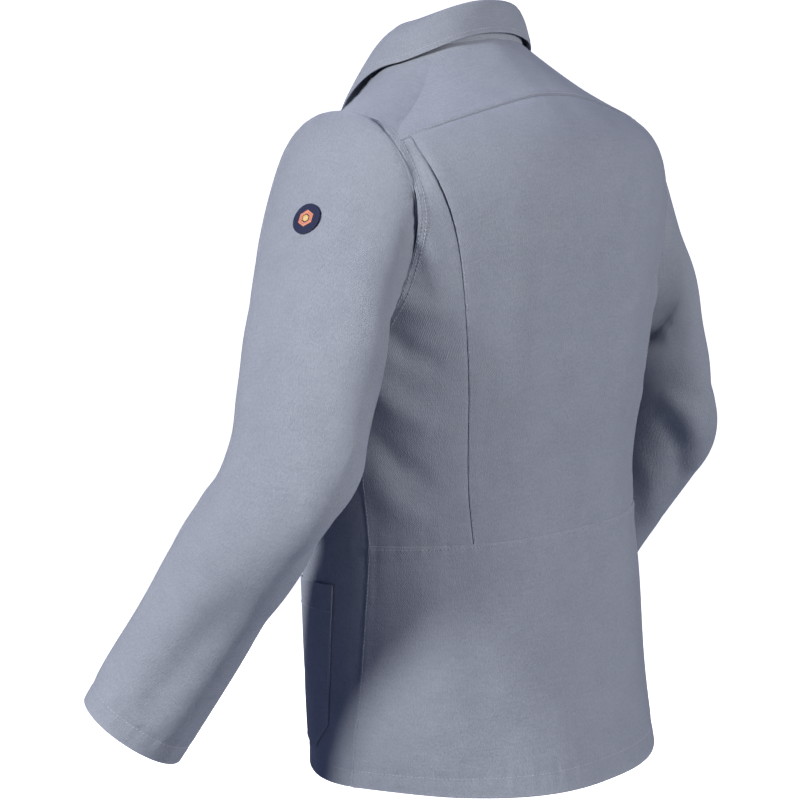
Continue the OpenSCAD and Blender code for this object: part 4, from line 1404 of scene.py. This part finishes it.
# ---------------------------------------------------------------- camera, floor, light
def look_matrix(back, roll=0.0):
    """Rotation of a camera or lamp that looks along -back, turned by roll about its line of sight."""
    right = (-back).cross(Vector((0, 0, 1))).normalized()
    up = right.cross(-back)
    c, s = math.cos(roll), math.sin(roll)
    right, up = right * c + up * s, up * c - right * s
    return Matrix((right, up, back)).transposed().to_4x4()


def make_camera():
    azimuth, elevation, roll = math.radians(52.4), math.radians(5.6), math.radians(-2.0)
    distance, aside, height = 2.55, -0.0674, -0.3554
    level = math.cos(elevation)
    back = Vector((math.sin(azimuth) * level, math.cos(azimuth) * level, math.sin(elevation)))
    right = (-back).cross(Vector((0, 0, 1)))
    data = bpy.data.cameras.new("Camera")
    data.sensor_width = 36.0
    data.lens = 2592 * 36 / 800
    camera = bpy.data.objects.new("Camera", data)
    turn = look_matrix(back, roll=roll)
    place = right * aside + Vector((0, 0, height)) + back * distance
    camera.matrix_world = Matrix.Translation(place) @ turn
    bpy.context.scene.collection.objects.link(camera)
    bpy.context.scene.camera = camera


def studio_paper():
    """Matt white paper. Only the camera sees it glow, so it stays pale and throws little light back."""
    material, tree, shader = new_material("Floor_paper")
    place = tree.nodes.new("ShaderNodeTexCoord").outputs["Object"]
    tint = blend_colour(tree, noise(tree, place, 3, 2), (0.88, 0.885, 0.89), (0.91, 0.91, 0.91))
    seen = tree.nodes.new("ShaderNodeLightPath").outputs["Is Camera Ray"]
    base = blend_colour(tree, seen, (0.13, 0.15, 0.23), tint)
    tree.links.new(base, shader.inputs["Base Color"])
    tree.links.new(calc(tree, "MULTIPLY", seen, PAPER_GLOW), shader.inputs["Emission Strength"])
    shader.inputs["Emission Color"].default_value = (1, 1, 1, 1)
    shader.inputs["Roughness"].default_value = 0.9
    shader.inputs["Specular IOR Level"].default_value = 0.1
    return material


def make_floor():
    """A pale floor that curves up into a backdrop on every side."""
    floor_z, flat, radius, rise = -1.15, 4.6, 1.6, 7.0
    profile = [(0.0, 0.0), (flat, 0.0)]
    for a in np.linspace(0, math.pi / 2, 24)[1:]:
        profile.append((flat + radius * math.sin(a), radius * (1 - math.cos(a))))
    profile.append((flat + radius, rise))
    turn = np.linspace(0, 2 * np.pi, 96, endpoint=False)
    r, z = np.array(profile[1:]).T
    verts = [r[:, None] * np.cos(turn), r[:, None] * np.sin(turn), floor_z + z[:, None] + 0 * turn]
    verts = np.stack(verts, -1)
    index = np.arange(verts[..., 0].size).reshape(verts.shape[:2])
    quads = tube_quads(index)
    verts = np.concatenate([verts.reshape(-1, 3), [[0, 0, floor_z]]])
    fan = np.stack([index[0], np.roll(index[0], -1), np.full(len(turn), len(verts) - 1)], -1)
    mesh = bpy.data.meshes.new("Floor")
    mesh.from_pydata(verts.tolist(), [], fan[:, ::-1].tolist() + quads.tolist())
    mesh.polygons.foreach_set("use_smooth", np.ones(len(mesh.polygons), bool))
    floor = bpy.data.objects.new("Floor", mesh)
    bpy.context.scene.collection.objects.link(floor)
    floor.data.materials.append(studio_paper())


def make_lamp(name, direction, size, power, colour, distance=3.2):
    """A round soft light that shines at the middle of the jacket from a direction."""
    middle = Vector((0, 0, -0.35))
    toward = Vector(direction).normalized()
    data = bpy.data.lights.new(name, "AREA")
    data.shape = "DISK"
    data.size = size
    data.energy = power
    data.color = colour
    lamp = bpy.data.objects.new(name, data)
    turn = look_matrix(toward)
    lamp.matrix_world = Matrix.Translation(middle + toward * distance) @ turn
    bpy.context.scene.collection.objects.link(lamp)


def make_light():
    make_lamp("Key", (0.95, -0.17, 0.38), 0.7, 122, (1.0, 1.0, 0.98))
    make_lamp("Back_fill", (-0.06, 0.9, 0.26), 1.8, 88, (1.0, 0.99, 0.95))
    make_lamp("Front_fill", (-0.6, -0.76, 0.32), 1.8, 46, (0.98, 0.99, 0.97))
    world = bpy.data.worlds.new("Studio")
    world.use_nodes = True
    ground = world.node_tree.nodes["Background"]
    ground.inputs["Color"].default_value = (0.22, 0.30, 1.0, 1)
    ground.inputs["Strength"].default_value = 0.36
    bpy.context.scene.world = world


PAPER_GLOW = 0.95
bpy.context.scene.view_settings.view_transform = "Standard"
make_camera()
make_floor()
make_light()
